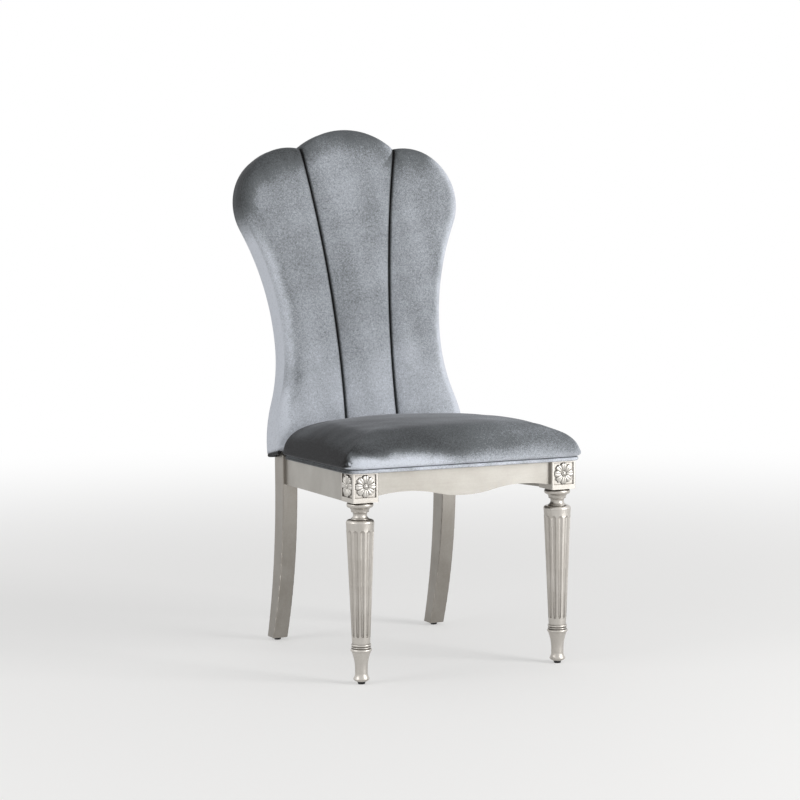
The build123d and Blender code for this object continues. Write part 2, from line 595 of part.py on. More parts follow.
def corner_screws(side):
    """Head and tip of the four screws that hold one side's two corner blocks to the aprons."""
    ends = []
    for rear in (False, True):
        points = corner_points(side, rear)
        (cross_x, cross_y), (leg_x, _), _, (_, leg_y), (side_x, side_y) = points
        out = 1 if rear else -1
        x = (cross_x + leg_x) / 2
        y = (leg_y + side_y) / 2
        on_slope_y = cross_y + (side_y - cross_y) * (x - cross_x) / (side_x - cross_x)
        on_slope_x = cross_x + (side_x - cross_x) * (y - cross_y) / (side_y - cross_y)
        sunk = SCREW_HEAD_RADIUS * abs((side_y - cross_y) / (side_x - cross_x))
        sunk_across = SCREW_HEAD_RADIUS * abs((side_x - cross_x) / (side_y - cross_y))
        z = frame_top(cross_y) - CORNER_BLOCK_THICKNESS / 2
        ends.append(((x, on_slope_y + out * sunk, z), (x, cross_y + out * SCREW_BITE, z)))
        z = frame_top(y) - CORNER_BLOCK_THICKNESS / 2
        tip_x = side * (apron_inner_x(y) + SCREW_BITE)
        ends.append(((on_slope_x + side * sunk_across, y, z), (tip_x, y, z)))
    return ends


def seat_screw(side, rear):
    """Head and tip of the screw that goes up through a corner block into the seat board."""
    points = corner_points(side, rear)
    x = (points[0][0] + points[4][0] + 2 * points[2][0]) / 4
    y = (points[0][1] + points[4][1] + 2 * points[2][1]) / 4
    up = SEAT.z_dir
    seat = Vector(x, y, frame_top(y))
    return tuple(seat - up * CORNER_BLOCK_THICKNESS), tuple(seat + up * BOARD_SCREW_BITE)


# Dowels and nails, each as a start, an end and a radius
def dowel_pair(x, y, along, drop):
    """Two dowels, one above the other, across the joint at x and y."""
    ends = []
    for row in range(2):
        z = frame_top(y) - drop - row * DOWEL_SPACING
        reach = Vector(*along) * DOWEL_DEPTH
        joint = Vector(x, y, z)
        ends.append((joint - reach, joint + reach))
    return ends


def front_apron_dowels(side):
    """Dowels between the front apron and a block."""
    y = FRONT_APRON_FACE + APRON_THICKNESS / 2
    return dowel_pair(side * (FRONT_X - HALF_BLOCK), y, (1, 0, 0), DOWEL_UPPER_DROP)


def side_apron_dowels(side):
    """Dowels between a side apron and its block."""
    x = (apron_outer_x(HALF_BLOCK) + apron_inner_x(HALF_BLOCK)) / 2
    return dowel_pair(side * x, HALF_BLOCK, (0, 1, 0), DOWEL_UPPER_DROP)


def side_apron_rear_dowels(side):
    """Dowels between a side apron and its rear leg."""
    x = (apron_outer_x(FRAME_DEPTH) + apron_inner_x(FRAME_DEPTH)) / 2
    return dowel_pair(side * x, FRAME_DEPTH, (0, 1, 0), DOWEL_UPPER_DROP)


def rear_apron_dowels(side):
    """Dowels between the rear apron and a rear leg."""
    y = REAR_APRON_FRONT + APRON_THICKNESS / 2
    return dowel_pair(side * REAR_INNER_X, y, (1, 0, 0), DOWEL_UPPER_DROP + DOWEL_STAGGER)


def rail_dowels(side):
    """Dowels between the lower back rail and a post."""
    ends = []
    reach = Vector(DOWEL_DEPTH, 0, 0)
    for height in (RAIL_DOWEL_INSET, LOWER_RAIL_HEIGHT - RAIL_DOWEL_INSET):
        level = LOWER_RAIL_LEVEL + height
        joint = (side * (post_middle(level) - POST_WIDTH / 2), level, FRAME_MIDDLE)
        centre = BACK.from_local_coords(Vector(*joint))
        ends.append((centre - reach, centre + reach))
    return ends


def dowel(ends):
    """Plain round dowel."""
    return rod(*ends, DOWEL_RADIUS)


def dowel_hole(ends):
    """Hole for a dowel, with room for the glue."""
    room = (ends[1] - ends[0]).normalized() * DOWEL_CLEARANCE
    return rod(ends[0] - room, ends[1] + room, DOWEL_RADIUS + DOWEL_CLEARANCE)


def nail(x, y, clearance):
    """Nail of a glide, from the glide's underside into the leg, or the hole for it."""
    foot = GLIDE_HEIGHT / 2
    return rod((x, y, foot), (x, y, foot + NAIL_LENGTH + clearance), NAIL_RADIUS + clearance)


def glide(x, y):
    """Black nail-on glide, wider at the top."""
    cone = Cone(GLIDE_FOOT_RADIUS, GLIDE_TOP_RADIUS, GLIDE_HEIGHT)
    return Pos(x, y, GLIDE_HEIGHT / 2) * cone - nail(x, y, NAIL_CLEARANCE)


# Seat
def rear_edge(depth):
    """Where the seat frame's top meets a face lying depth in front of the back panel."""
    start = BACK_Y * cos(LEAN) + (FRAME_HEIGHT - BACK_Z) * sin(LEAN)
    return (start - depth) / cos(TILT)


def drawn_in(face, inset):
    """A flat face with its edge moved inwards."""
    return offset(face, -inset, kind=Kind.INTERSECTION)


def seat_outline():
    """Plan of the seat cover in the seat frame's plane."""
    front_half = FRONT_X + HALF_BLOCK + SEAT_OVERHANG
    rear_half = REAR_OUTER_X + SEAT_REAR_OVERHANG
    front = -HALF_BLOCK - SEAT_FRONT_OVERHANG
    rear = rear_edge(PAD_CROWN + SEAT_BACK_CLEARANCE)
    plan = polygon([(-front_half, front), (front_half, front), (rear_half, rear), (-rear_half, rear)])
    plan = fillet(plan.vertices().group_by(Axis.Y)[0], SEAT_FRONT_CORNER)
    return fillet(plan.vertices().group_by(Axis.Y)[-1], SEAT_REAR_CORNER)


def seat_form(inset):
    """Crowned cushion above the welt, drawn in by inset on every side."""
    middle = (rear_edge(PAD_CROWN) - HALF_BLOCK) / 2
    crown = Pos(0, middle, SEAT_HEIGHT - SEAT_CROWN_RADIUS) * Sphere(SEAT_CROWN_RADIUS - inset)
    plan = drawn_in(seat_outline(), inset) if inset else seat_outline()
    form = upright(plan, WELT_TOP + inset, SEAT_HEIGHT) & crown
    rim = form.faces().filter_by(GeomType.SPHERE)[0].edges()
    form = fillet(rim, min(SEAT_ROLL, SEAT_FRONT_CORNER, SEAT_REAR_CORNER) - inset)
    return fillet(form.faces().sort_by(Axis.Z)[0].edges(), SEAT_TUCK - inset)


def seat_cushion():
    """Foam standing on the board, and the velvet over it, tucked in above the welt."""
    inner = seat_form(VELVET)
    foot = upright(drawn_in(seat_outline(), BOARD_INSET), BOARD_THICKNESS, WELT_TOP + 2 * VELVET)
    cover = seat_form(0) - inner - foot
    return SEAT * (inner + foot), SEAT * cover


def board_plan():
    """Plan of the seat board, with a tongue between the rear legs onto the rear apron."""
    half = REAR_INNER_X - BOARD_LEG_GAP
    rear = REAR_APRON_FRONT + BOARD_BEARING
    tongue = polygon([(-half, 0), (half, 0), (half, rear), (-half, rear)])
    return drawn_in(seat_outline(), BOARD_INSET) + tongue


def seat_board():
    """Plywood under the cushion, with holes for the seat screws."""
    board = SEAT * upright(board_plan(), 0, BOARD_THICKNESS)
    return board - [screw_hole(*seat_screw(side, rear)) for side in (LEFT, RIGHT) for rear in (False, True)]


def seat_welt():
    """Piping along the sides and the front of the board, under the edge of the cover."""
    outline = drawn_in(seat_outline(), BOARD_INSET - WELT_RADIUS - WELT_CLEARANCE)
    rear_edges = 3
    line = Wire(outline.edges().sort_by(Axis.Y)[:-rear_edges])
    section = Plane(origin=line @ 0, z_dir=line % 0) * Circle(WELT_RADIUS)
    return SEAT * Pos(0, 0, WELT_RADIUS + WELT_CLEARANCE) * sweep(section, line)


def seat_dust_cover():
    """Thin cloth on the underside of the board, between the corner blocks."""
    corners = {(side, rear): corner_points(side, rear) for side in (LEFT, RIGHT) for rear in (False, True)}
    order = [(LEFT, False), (RIGHT, False), (RIGHT, True), (LEFT, True)]
    points = []
    for place, (side, rear) in enumerate(order):
        ends = [corners[side, rear][4], corners[side, rear][0]]
        points += ends if place % 2 == 0 else ends[::-1]
    opening = upright(drawn_in(polygon(points), DUST_COVER_CLEARANCE), 0, EXTENT)
    under_board = SEAT * upright(board_plan(), -DUST_COVER_THICKNESS, 0)
    return opening & under_board


# Back, drawn in its own plane
def outline_turns():
    """Where the right edge turns from flare to waist and from waist to lobe."""
    flare = BACK_HALF_WIDTH - WAIST_HALF_WIDTH
    reach = (flare**2 + WAIST_LEVEL**2) / (2 * flare)
    lower_share = WAIST_LOWER_RADIUS / reach
    flare_end = (WAIST_HALF_WIDTH + lower_share * flare, WAIST_LEVEL * (1 - lower_share))
    out = WAIST_HALF_WIDTH - LOBE_CENTRE_OUT
    rise = LOBE_CENTRE_LEVEL - WAIST_LEVEL
    upper_radius = (out**2 + rise**2 - LOBE_RADIUS**2) / (2 * (LOBE_RADIUS - out))
    share = LOBE_RADIUS / (LOBE_RADIUS + upper_radius)
    lobe_start = (LOBE_CENTRE_OUT + share * (out + upper_radius), LOBE_CENTRE_LEVEL - share * rise)
    return flare_end, lobe_start


def half_outline(side):
    """Right or left edge of the back: flare, waist and lobe, from the hem up to the valley."""
    flare_end, lobe_start = outline_turns()
    first = atan2(lobe_start[1] - LOBE_CENTRE_LEVEL, lobe_start[0] - LOBE_CENTRE_OUT)
    last = atan2(VALLEY_LEVEL - LOBE_CENTRE_LEVEL, VALLEY_HALF_WIDTH - LOBE_CENTRE_OUT)
    turn = (first + last) / 2
    lobe_middle = (LOBE_CENTRE_OUT + LOBE_RADIUS * cos(turn), LOBE_CENTRE_LEVEL + LOBE_RADIUS * sin(turn))
    waist = (side * WAIST_HALF_WIDTH, WAIST_LEVEL)
    return [
        TangentArc((side * BACK_HALF_WIDTH, 0), (side * flare_end[0], flare_end[1]), tangent=(0, 1)),
        TangentArc(waist, (side * flare_end[0], flare_end[1]), tangent=(0, -1)),
        TangentArc(waist, (side * lobe_start[0], lobe_start[1]), tangent=(0, 1)),
        ThreePointArc(
            (side * lobe_start[0], lobe_start[1]),
            (side * lobe_middle[0], lobe_middle[1]),
            (side * VALLEY_HALF_WIDTH, VALLEY_LEVEL),
        ),
    ]


def centre_lobe():
    """Top of the middle lobe between the two valleys."""
    valley = (VALLEY_HALF_WIDTH, VALLEY_LEVEL)
    return ThreePointArc(valley, (0, CENTRE_LOBE_LEVEL), (-valley[0], valley[1]))


def seam(side):
    """Seam between the middle lobe and a side lobe, from the hem up to the valley."""
    foot = (side * SEAM_FOOT_HALF_WIDTH, 0)
    return bowed(foot, (side * VALLEY_HALF_WIDTH, VALLEY_LEVEL), -side * SEAM_BOW)


def seam_half_width(level):
    """Seam out from the centre line at a level up the back."""
    run = VALLEY_HALF_WIDTH - SEAM_FOOT_HALF_WIDTH
    chord = hypot(run, VALLEY_LEVEL)
    radius = (chord**2 / 4 + SEAM_BOW**2) / (2 * SEAM_BOW)
    centre_out = (SEAM_FOOT_HALF_WIDTH + VALLEY_HALF_WIDTH) / 2 + (radius - SEAM_BOW) * VALLEY_LEVEL / chord
    centre_level = VALLEY_LEVEL / 2 - (radius - SEAM_BOW) * run / chord
    return centre_out - sqrt(radius**2 - (level - centre_level) ** 2)


def back_outline():
    """The whole back, with its three lobes."""
    hem = Line((-BACK_HALF_WIDTH, 0), (BACK_HALF_WIDTH, 0))
    return face_of([hem, *half_outline(RIGHT), centre_lobe(), *half_outline(LEFT)])


def pad_outline(side):
    """One of the three lobes: left, right or, for 0, the middle one."""
    if side == 0:
        foot = Line((-SEAM_FOOT_HALF_WIDTH, 0), (SEAM_FOOT_HALF_WIDTH, 0))
        return face_of([foot, seam(RIGHT), centre_lobe(), seam(LEFT)])
    foot = Line((side * SEAM_FOOT_HALF_WIDTH, 0), (side * BACK_HALF_WIDTH, 0))
    return face_of([foot, *half_outline(side), seam(side)])


def pad_crown(side, inset):
    """Solid under a lobe's crowned face, lofted through arches across the lobe."""
    arches = []
    widest = LOBE_CENTRE_OUT + LOBE_RADIUS
    flare_end, lobe_start = outline_turns()
    levels = {
        -HEM_DROP: BACK_HALF_WIDTH,
        flare_end[1]: flare_end[0],
        WAIST_LEVEL: WAIST_HALF_WIDTH,
        lobe_start[1]: lobe_start[0],
        LOBE_CENTRE_LEVEL: widest,
        CENTRE_LOBE_LEVEL + HEM_DROP: widest,
    }
    for level, outer in levels.items():
        inner = seam_half_width(level)
        if side == 0:
            high = (inner + PAD_MARGIN, PAD_SEAM_DEPTH - inset)
            low = (-high[0], high[1])
        else:
            high = (side * (inner - PAD_MARGIN), PAD_SEAM_DEPTH - inset)
            low = (side * (outer + PAD_MARGIN), PAD_EDGE_DEPTH - inset)
        top = ((low[0] + high[0]) / 2, PAD_CROWN - inset)
        below = -PAD_CROWN
        base = Polyline(low, (low[0], below), (high[0], below), high)
        arches.append(Plane.XZ.offset(-level) * face_of([base, ThreePointArc(low, top, high)]))
    return loft(arches)


def pad(side, inset):
    """Padded lobe on the back panel, drawn in by inset, with a crown and rolled edges."""
    plan = drawn_in(pad_outline(side), SEAM_GAP / 2 + inset)
    form = upright(plan, 0, 2 * PAD_CROWN) & pad_crown(side, inset)
    rim = form.faces().sort_by(Axis.Z)[-1].edges()
    return fillet(rim, PAD_ROLL - inset)


def back_layer(inset, low, high):
    """Layer of the back between two depths, drawn in from its outline."""
    return upright(drawn_in(back_outline(), inset), low, high)


def above(level):
    """All of the back above a level."""
    return Pos(0, level + EXTENT / 2, 0) * Box(EXTENT, EXTENT, EXTENT)


def back_panel():
    """Plywood with the outline of the back, which carries the padding."""
    panel = back_layer(BAND_THICKNESS + BAND_CLEARANCE, -PANEL_THICKNESS, 0)
    return BACK * (panel - [panel_screw_hole(u, v) for u, v in panel_screw_places()])


def crest_rail():
    """Shaped rail behind the lobes, mortised for the posts."""
    rail = back_layer(BAND_THICKNESS + BAND_CLEARANCE, FRAME_BACK, -PANEL_THICKNESS) & above(CREST_LEVEL)
    rail -= [tenon(side, TENON_CLEARANCE) for side in (LEFT, RIGHT)]
    return BACK * (rail - [panel_screw_hole(u, v) for u, v in panel_screw_places()])


def lower_back_rail():
    """Rail between the feet of the posts."""
    low = LOWER_RAIL_LEVEL
    high = low + LOWER_RAIL_HEIGHT
    low_end = post_middle(low) - POST_WIDTH / 2
    high_end = post_middle(high) - POST_WIDTH / 2
    rail = polygon([(-low_end, low), (low_end, low), (high_end, high), (-high_end, high)])
    rail = BACK * upright(rail, FRAME_BACK, -PANEL_THICKNESS)
    return rail - [dowel_hole(ends) for side in (LEFT, RIGHT) for ends in rail_dowels(side)]


def panel_screw_places():
    """Screws through the back panel into the posts and the crest rail."""
    places = [(side * post_middle(v), v) for side in (LEFT, RIGHT) for v in PANEL_SCREW_LEVELS]
    return places + [(side * CREST_SCREW_OUT, CREST_SCREW_LEVEL) for side in (LEFT, RIGHT)]


def panel_screw_ends(u, v):
    """Head and tip of a screw through the back panel, in the back's own plane."""
    return (u, v, 0), (u, v, -PANEL_THICKNESS - SCREW_BITE)


def panel_screw_hole(u, v):
    """Hole for a screw through the back panel."""
    return screw_hole(*panel_screw_ends(u, v))


def back_side_band():
    """Velvet strip round the edge of the back, open at the hem."""
    band = upright(back_outline(), BACK_REAR, 0) - back_layer(BAND_THICKNESS, BACK_REAR, 0)
    inner_width = 2 * (BACK_HALF_WIDTH - BAND_THICKNESS)
    mouth = Box(inner_width, 2 * BAND_THICKNESS + BAND_CLEARANCE, EXTENT)
    return BACK * (band - mouth)


def back_bottom_cloth():
    """Cloth that closes the hem from under the panel to the outside back, cut round the posts."""
    width = 2 * (BACK_HALF_WIDTH - BAND_THICKNESS - BAND_CLEARANCE)
    cloth = Box(width, BOTTOM_CLOTH_THICKNESS, -FRAME_BACK)
    cloth = Pos(0, BOTTOM_CLOTH_THICKNESS / 2, FRAME_BACK / 2) * cloth
    slot = Box(POST_WIDTH + 2 * BOTTOM_CLOTH_CLEARANCE, EXTENT, EXTENT)
    slot_depth = BOTTOM_CLOTH_CLEARANCE - PANEL_THICKNESS - EXTENT / 2
    return BACK * (cloth - [Pos(side * REAR_X, 0, slot_depth) * slot for side in (LEFT, RIGHT)])


def back_hem_welt():
    """Piping under the side bands and the outside back."""
    line = FilletPolyline(
        (-BACK_HALF_WIDTH, HEM_FRONT),
        (-BACK_HALF_WIDTH, BACK_REAR),
        (BACK_HALF_WIDTH, BACK_REAR),
        (BACK_HALF_WIDTH, HEM_FRONT),
        radius=HEM_CORNER,
    )
    section = Plane(origin=line @ 0, z_dir=line % 0) * Circle(HEM_RADIUS)
    return BACK * Plane.XZ.offset(HEM_DROP / 2) * sweep(section, line)


def build():
    """All nodes by name."""
    sides = (LEFT, RIGHT)
    nodes = {
        "front_apron": front_apron(),
        "rear_apron": rear_apron(),
        "seat_board": seat_board(),
        "seat_welt": seat_welt(),
        "seat_dust_cover": seat_dust_cover(),
        "back_panel": back_panel(),
        "crest_rail": crest_rail(),
        "lower_back_rail": lower_back_rail(),
        "back_side_band": back_side_band(),
        "back_bottom_cloth": back_bottom_cloth(),
        "back_hem_welt": back_hem_welt(),
    }
    nodes["seat_foam"], nodes["seat_cover"] = seat_cushion()
    inner = BAND_THICKNESS + BAND_CLEARANCE
    outside = FRAME_BACK - OUTSIDE_BOARD_THICKNESS
    nodes["outside_back_board"] = BACK * back_layer(inner, outside, FRAME_BACK)
    nodes["outside_back_cover"] = BACK * back_layer(inner, BACK_REAR, outside)
    for side, name in {LEFT: "left", 0: "center", RIGHT: "right"}.items():
        foam = pad(side, VELVET)
        nodes[f"back_foam_{name}"] = BACK * foam
        nodes[f"back_cover_{name}"] = BACK * (pad(side, 0) - foam)
    flower = rosette()
    for side in sides:
        name = SIDE_NAMES[side]
        nodes[f"front_leg_{name}"] = front_leg(side)
        nodes[f"rear_leg_{name}"] = rear_leg(side)
        nodes[f"side_apron_{name}"] = side_apron(side)
        nodes[f"glide_front_{name}"] = glide(side * FRONT_X, 0)
        nodes[f"glide_rear_{name}"] = glide(side * REAR_X, rear_foot_middle())
        nodes[f"corner_block_front_{name}"] = corner_block(side, False)
        nodes[f"corner_block_rear_{name}"] = corner_block(side, True)
        for face, plane in block_faces(side).items():
            nodes[f"rosette_{name}_{face}"] = plane * Pos(0, 0, -FIELD_DEPTH) * flower
    seat_screws = [seat_screw(side, rear) for side in sides for rear in (False, True)]
    block_screws = [ends for side in sides for ends in corner_screws(side)]
    apron_dowels = [
        ends
        for joint in (front_apron_dowels, side_apron_dowels, side_apron_rear_dowels, rear_apron_dowels)
        for side in sides
        for ends in joint(side)
    ]
    back_dowels = [ends for side in sides for ends in rail_dowels(side)]
    feet = [(side * FRONT_X, 0) for side in sides] + [(side * REAR_X, rear_foot_middle()) for side in sides]
    panel_screws = [BACK * countersunk_screw(*panel_screw_ends(u, v)) for u, v in panel_screw_places()]
    groups = {
        "seat_screws": [countersunk_screw(*ends) for ends in seat_screws],
        "corner_block_screws": [countersunk_screw(*ends) for ends in block_screws],
        "panel_screws": panel_screws,
        "apron_dowels": [dowel(ends) for ends in apron_dowels],
        "rail_dowels": [dowel(ends) for ends in back_dowels],
        "glide_nails": [nail(x, y, 0) for x, y in feet],
    }
    for name, pieces in groups.items():
        nodes[name] = Compound([solid for piece in pieces for solid in piece.solids()])
    return nodes


def main():
    """Write each node, with the origin under the middle of the chair's box."""
    nodes = build()
    boxes = [shape.bounding_box() for shape in nodes.values()]
    middle_y = (min(box.min.Y for box in boxes) + max(box.max.Y for box in boxes)) / 2
    os.makedirs("parts", exist_ok=True)
    for name, shape in nodes.items():
        export_step(Pos(0, -middle_y, 0) * shape, f"parts/{name}.step")


main()
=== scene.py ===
import logging
import math
from dataclasses import dataclass, field
from enum import Enum
from typing import Any, Sequence

import bmesh
import bpy
import numpy as np
from bpy.types import Material, Mesh, Node, NodeSocket, NodeTree, Object
from mathutils import Matrix, Vector


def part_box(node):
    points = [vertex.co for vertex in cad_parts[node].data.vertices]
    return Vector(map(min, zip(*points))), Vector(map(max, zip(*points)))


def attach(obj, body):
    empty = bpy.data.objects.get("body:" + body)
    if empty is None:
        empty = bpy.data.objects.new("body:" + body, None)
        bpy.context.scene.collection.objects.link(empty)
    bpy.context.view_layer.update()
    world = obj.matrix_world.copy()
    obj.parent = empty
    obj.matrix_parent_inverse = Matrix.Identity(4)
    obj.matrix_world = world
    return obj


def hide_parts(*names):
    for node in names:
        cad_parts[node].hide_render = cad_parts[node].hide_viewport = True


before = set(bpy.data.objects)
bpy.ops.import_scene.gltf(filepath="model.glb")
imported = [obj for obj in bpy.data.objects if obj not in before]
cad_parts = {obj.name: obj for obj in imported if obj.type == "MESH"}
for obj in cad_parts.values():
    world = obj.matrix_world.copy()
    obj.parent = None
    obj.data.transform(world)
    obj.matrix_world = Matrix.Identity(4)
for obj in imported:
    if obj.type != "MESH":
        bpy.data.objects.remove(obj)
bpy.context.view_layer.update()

BODY = "root"
LOG = logging.getLogger("dining_chair")

Array = np.ndarray
Colour = tuple[float, float, float]
Face = tuple[int, ...]
Point = tuple[float, float, float]

# Places of the chair's own planes, in metres
BACK_LEAN = math.radians(11.0)
BACK_SETBACK = 0.4351233
BACK_FOOT = 0.4428748
SEAT_PITCH = math.radians(1.5)
FRAME_TOP = 0.440

SAME_POINT = 1e-6
SAME_CORNER = 1e-5
SHORTEST_RUN = 1e-14
WHITE = (1.0, 1.0, 1.0, 1.0)
MIRROR = np.array([-1.0, 1.0])
CORNERS = ("front_left", "front_right", "rear_left", "rear_right")


class Finish(Enum):
    """Names of the made pieces' finishes, which nothing in this script uses."""

    SILVER = "silver_wood"
    VELVET = "velvet"
    DUST_CLOTH = "dust_cloth"


class Grain(Enum):
    """Way that the brushed finish or the wood's grain runs, as the stretch of its pattern."""

    UPRIGHT = (1.0, 1.0, 0.05)
    ACROSS = (0.05, 1.0, 1.0)
    DEEP = (1.0, 0.05, 1.0)


def srgb(red: int, green: int, blue: int) -> Colour:
    """Linear colour, as shaders take it, of a screen colour from 0 to 255."""
    shares = [value / 255.0 for value in (red, green, blue)]
    return tuple(s / 12.92 if s <= 0.04045 else ((s + 0.055) / 1.055) ** 2.4 for s in shares)


def smooth_step(low: float | Array, high: float | Array, values: Array) -> Array:
    """Ease values from 0 at low to 1 at high."""
    share = np.clip((values - low) / (high - low), 0.0, 1.0)
    return share * share * (3.0 - 2.0 * share)


@dataclass(frozen=True)
class Ease:
    """Gentle rise from 0 at one value to 1 at another."""

    low: float
    high: float

    def of(self, values: Array) -> Array:
        """Eased share of each value."""
        return smooth_step(self.low, self.high, values)


@dataclass(frozen=True)
class Noise:
    """Gentle wandering made of a few crossing waves, the same in each run."""

    strength: float
    size: float
    seed: int
    waves: int = 7

    def at(self, points: Array) -> Array:
        """Its value at each point.

        Args:
            points: Points in metres, one in each row.

        Returns:
            One value for each point, up to about the strength either way.
        """
        draws = np.random.default_rng(self.seed)
        total = np.zeros(len(points))
        for _ in range(self.waves):
            direction = draws.normal(size=3)
            direction /= np.linalg.norm(direction)
            length = self.size * draws.uniform(0.8, 1.7)
            total += np.sin(points @ direction * (math.tau / length) + draws.uniform(0.0, math.tau))
        return self.strength * (total / (0.5 * self.waves))


def wandering(points: Array, noises: Sequence[Noise]) -> Array:
    """Sum of several noises at each point."""
    return sum(noise.at(points) for noise in noises)


@dataclass(frozen=True)
class Reference:
    """Flat place on the chair with its own axes, given in metres in the chair's frame."""

    origin: Array
    across: Array
    along: Array
    out: Array

    def axes(self) -> Array:
        """The three axes, one in each row."""
        return np.stack([self.across, self.along, self.out])

    def place(self, local: Array) -> Array:
        """Points in the chair's frame from points along this place's own axes."""
        return self.origin + local @ self.axes()

    def locate(self, points: Array) -> Array:
        """Points along this place's own axes from points in the chair's frame."""
        return (points - self.origin) @ self.axes().T

    def matrix(self) -> Matrix:
        """Matrix that sets something drawn on this place's axes onto the chair."""
        columns = np.stack([self.across, self.along, self.out, self.origin], axis=1)
        return Matrix([*columns.tolist(), [0.0, 0.0, 0.0, 1.0]])


def leg_axes_y() -> float:
    """Place of the front legs' axes, from front to back, in the chair's frame."""
    low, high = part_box("front_leg_left")
    return (low.y + high.y) / 2.0


def back_reference() -> Reference:
    """Front face of the back panel: across, up the back, and towards the sitter."""
    return Reference(
        origin=np.array([0.0, leg_axes_y() + BACK_SETBACK, BACK_FOOT]),
        across=np.array([1.0, 0.0, 0.0]),
        along=np.array([0.0, math.sin(BACK_LEAN), math.cos(BACK_LEAN)]),
        out=np.array([0.0, -math.cos(BACK_LEAN), math.sin(BACK_LEAN)]),
    )


def seat_reference() -> Reference:
    """Top of the seat frame: across, towards the back, and up."""
    return Reference(
        origin=np.array([0.0, leg_axes_y(), FRAME_TOP]),
        across=np.array([1.0, 0.0, 0.0]),
        along=np.array([0.0, math.cos(SEAT_PITCH), -math.sin(SEAT_PITCH)]),
        out=np.array([0.0, math.sin(SEAT_PITCH), math.cos(SEAT_PITCH)]),
    )


# Meshes
def vectors_of(items: Any, name: str) -> Array:
    """Vectors kept for each point of a mesh.

    Args:
        items: Where the mesh keeps them.
        name: Name of the field.

    Returns:
        The vectors, one in each row.
    """
    flat = np.empty(len(items) * 3, np.float32)
    items.foreach_get(name, flat)
    return flat.reshape(-1, 3).astype(float)


def points_of(mesh: Mesh) -> Array:
    """Points of a mesh, one in each row."""
    return vectors_of(mesh.vertices, "co")


def normals_of(mesh: Mesh) -> Array:
    """Normals at the points of a mesh, one in each row."""
    return vectors_of(mesh.vertex_normals, "vector")


def set_points(mesh: Mesh, points: Array) -> None:
    """Move the points of a mesh."""
    mesh.vertices.foreach_set("co", points.astype(np.float32).ravel())
    mesh.update()


def smooth(mesh: Mesh) -> None:
    """Shade all of a mesh smoothly."""
    mesh.polygons.foreach_set("use_smooth", np.ones(len(mesh.polygons), bool))
    mesh.update()


def paint(mesh: Mesh, name: str, values: Array) -> None:
    """Write a value at each point of a mesh, for its material to read."""
    layer = mesh.attributes.new(name, "FLOAT", "POINT")
    layer.data.foreach_set("value", values.astype(np.float32))


def paint_pile_and_light(piece: Object, values: Array) -> None:
    """Write the painted light and shade, with its brushed patches, at each point, from 0 dark to 1 pale."""
    paint(piece.data, "nap", np.clip(values, 0.0, 1.0))


def new_object(name: str, data: Any) -> Object:
    """Put a mesh, lamp or camera into the scene.

    Args:
        name: Name of the object.
        data: What it shows.

    Returns:
        The new object, at the origin.
    """
    made = bpy.data.objects.new(name, data)
    bpy.context.scene.collection.objects.link(made)
    return made


def weld(mesh: Mesh, gap: float, outwards: bool) -> None:
    """Merge the points of a mesh that lie together.

    Args:
        mesh: The mesh.
        gap: Most that they may lie apart.
        outwards: Whether its faces are turned outwards too.
    """
    work = bmesh.new()
    work.from_mesh(mesh)
    bmesh.ops.remove_doubles(work, verts=work.verts, dist=gap)
    if outwards:
        bmesh.ops.recalc_face_normals(work, faces=work.faces)
    work.to_mesh(mesh)
    work.free()
    mesh.update()


def mesh_from(name: str, points: Array, faces: Sequence[Face]) -> Mesh:
    """Make a mesh from points and faces, with its normals outwards.

    Args:
        name: Name of the mesh.
        points: Points, one in each row.
        faces: Corners of each face.

    Returns:
        The mesh.
    """
    mesh = bpy.data.meshes.new(name)
    mesh.from_pydata([tuple(point) for point in points], [], faces)
    weld(mesh, SAME_POINT, True)
    return mesh


def grid_faces(rows: int, columns: int, closed: bool = False) -> list[Face]:
    """Faces of a grid of points, row by row.

    Args:
        rows: Number of rows.
        columns: Points in each row.
        closed: Whether each row comes back to its start.

    Returns:
        The four corners of each face.
    """
    faces = []
    for start in range(0, (rows - 1) * columns, columns):
        for column in range(columns if closed else columns - 1):
            after = (column + 1) % columns
            faces.append((start + column, start + after, start + columns + after, start + columns + column))
    return faces


def grid_rim(rows: int, columns: int) -> list[int]:
    """Points round the rim of a grid, in order.

    Args:
        rows: Number of rows.
        columns: Points in each row.

    Returns:
        The points' places in the grid.
    """
    top = list(range(columns))
    right = [row * columns + columns - 1 for row in range(1, rows)]
    bottom = [(rows - 1) * columns + column for column in range(columns - 2, -1, -1)]
    left = [row * columns for row in range(rows - 2, 0, -1)]
    return top + right + bottom + left


def ring_walls(first: Sequence[int], second: Sequence[int]) -> list[Face]:
    """Faces between two closed rings of points that run side by side."""
    corners = zip(first, [*first[1:], first[0]], second, [*second[1:], second[0]])
    return [(a, b, d, c) for a, b, c, d in corners]


def turned_over(faces: Sequence[Face], shift: int) -> list[Face]:
    """The same faces on points that come later, looking the other way."""
    return [tuple(shift + corner for corner in face[::-1]) for face in faces]


def closed_grid(name: str, upper: Array, lower: Array) -> Mesh:
    """Close two grids of points with a wall round their rims.

    Args:
        name: Name of the mesh.
        upper: Points of the outer side, by row and column.
        lower: Points of the inner side, by row and column.

    Returns:
        The closed mesh.
    """
    rows, columns = upper.shape[:2]
    count = rows * columns
    faces = grid_faces(rows, columns)
    rim = grid_rim(rows, columns)
    walls = ring_walls(rim, [count + place for place in rim])
    points = np.concatenate([upper.reshape(-1, 3), lower.reshape(-1, 3)])
    return mesh_from(name, points, [*faces, *turned_over(faces, count), *walls])


def crowded(count: int) -> Array:
    """Shares from 0 to 1 that crowd together at both ends."""
    return 0.5 - 0.5 * np.cos(np.linspace(0.0, math.pi, count))


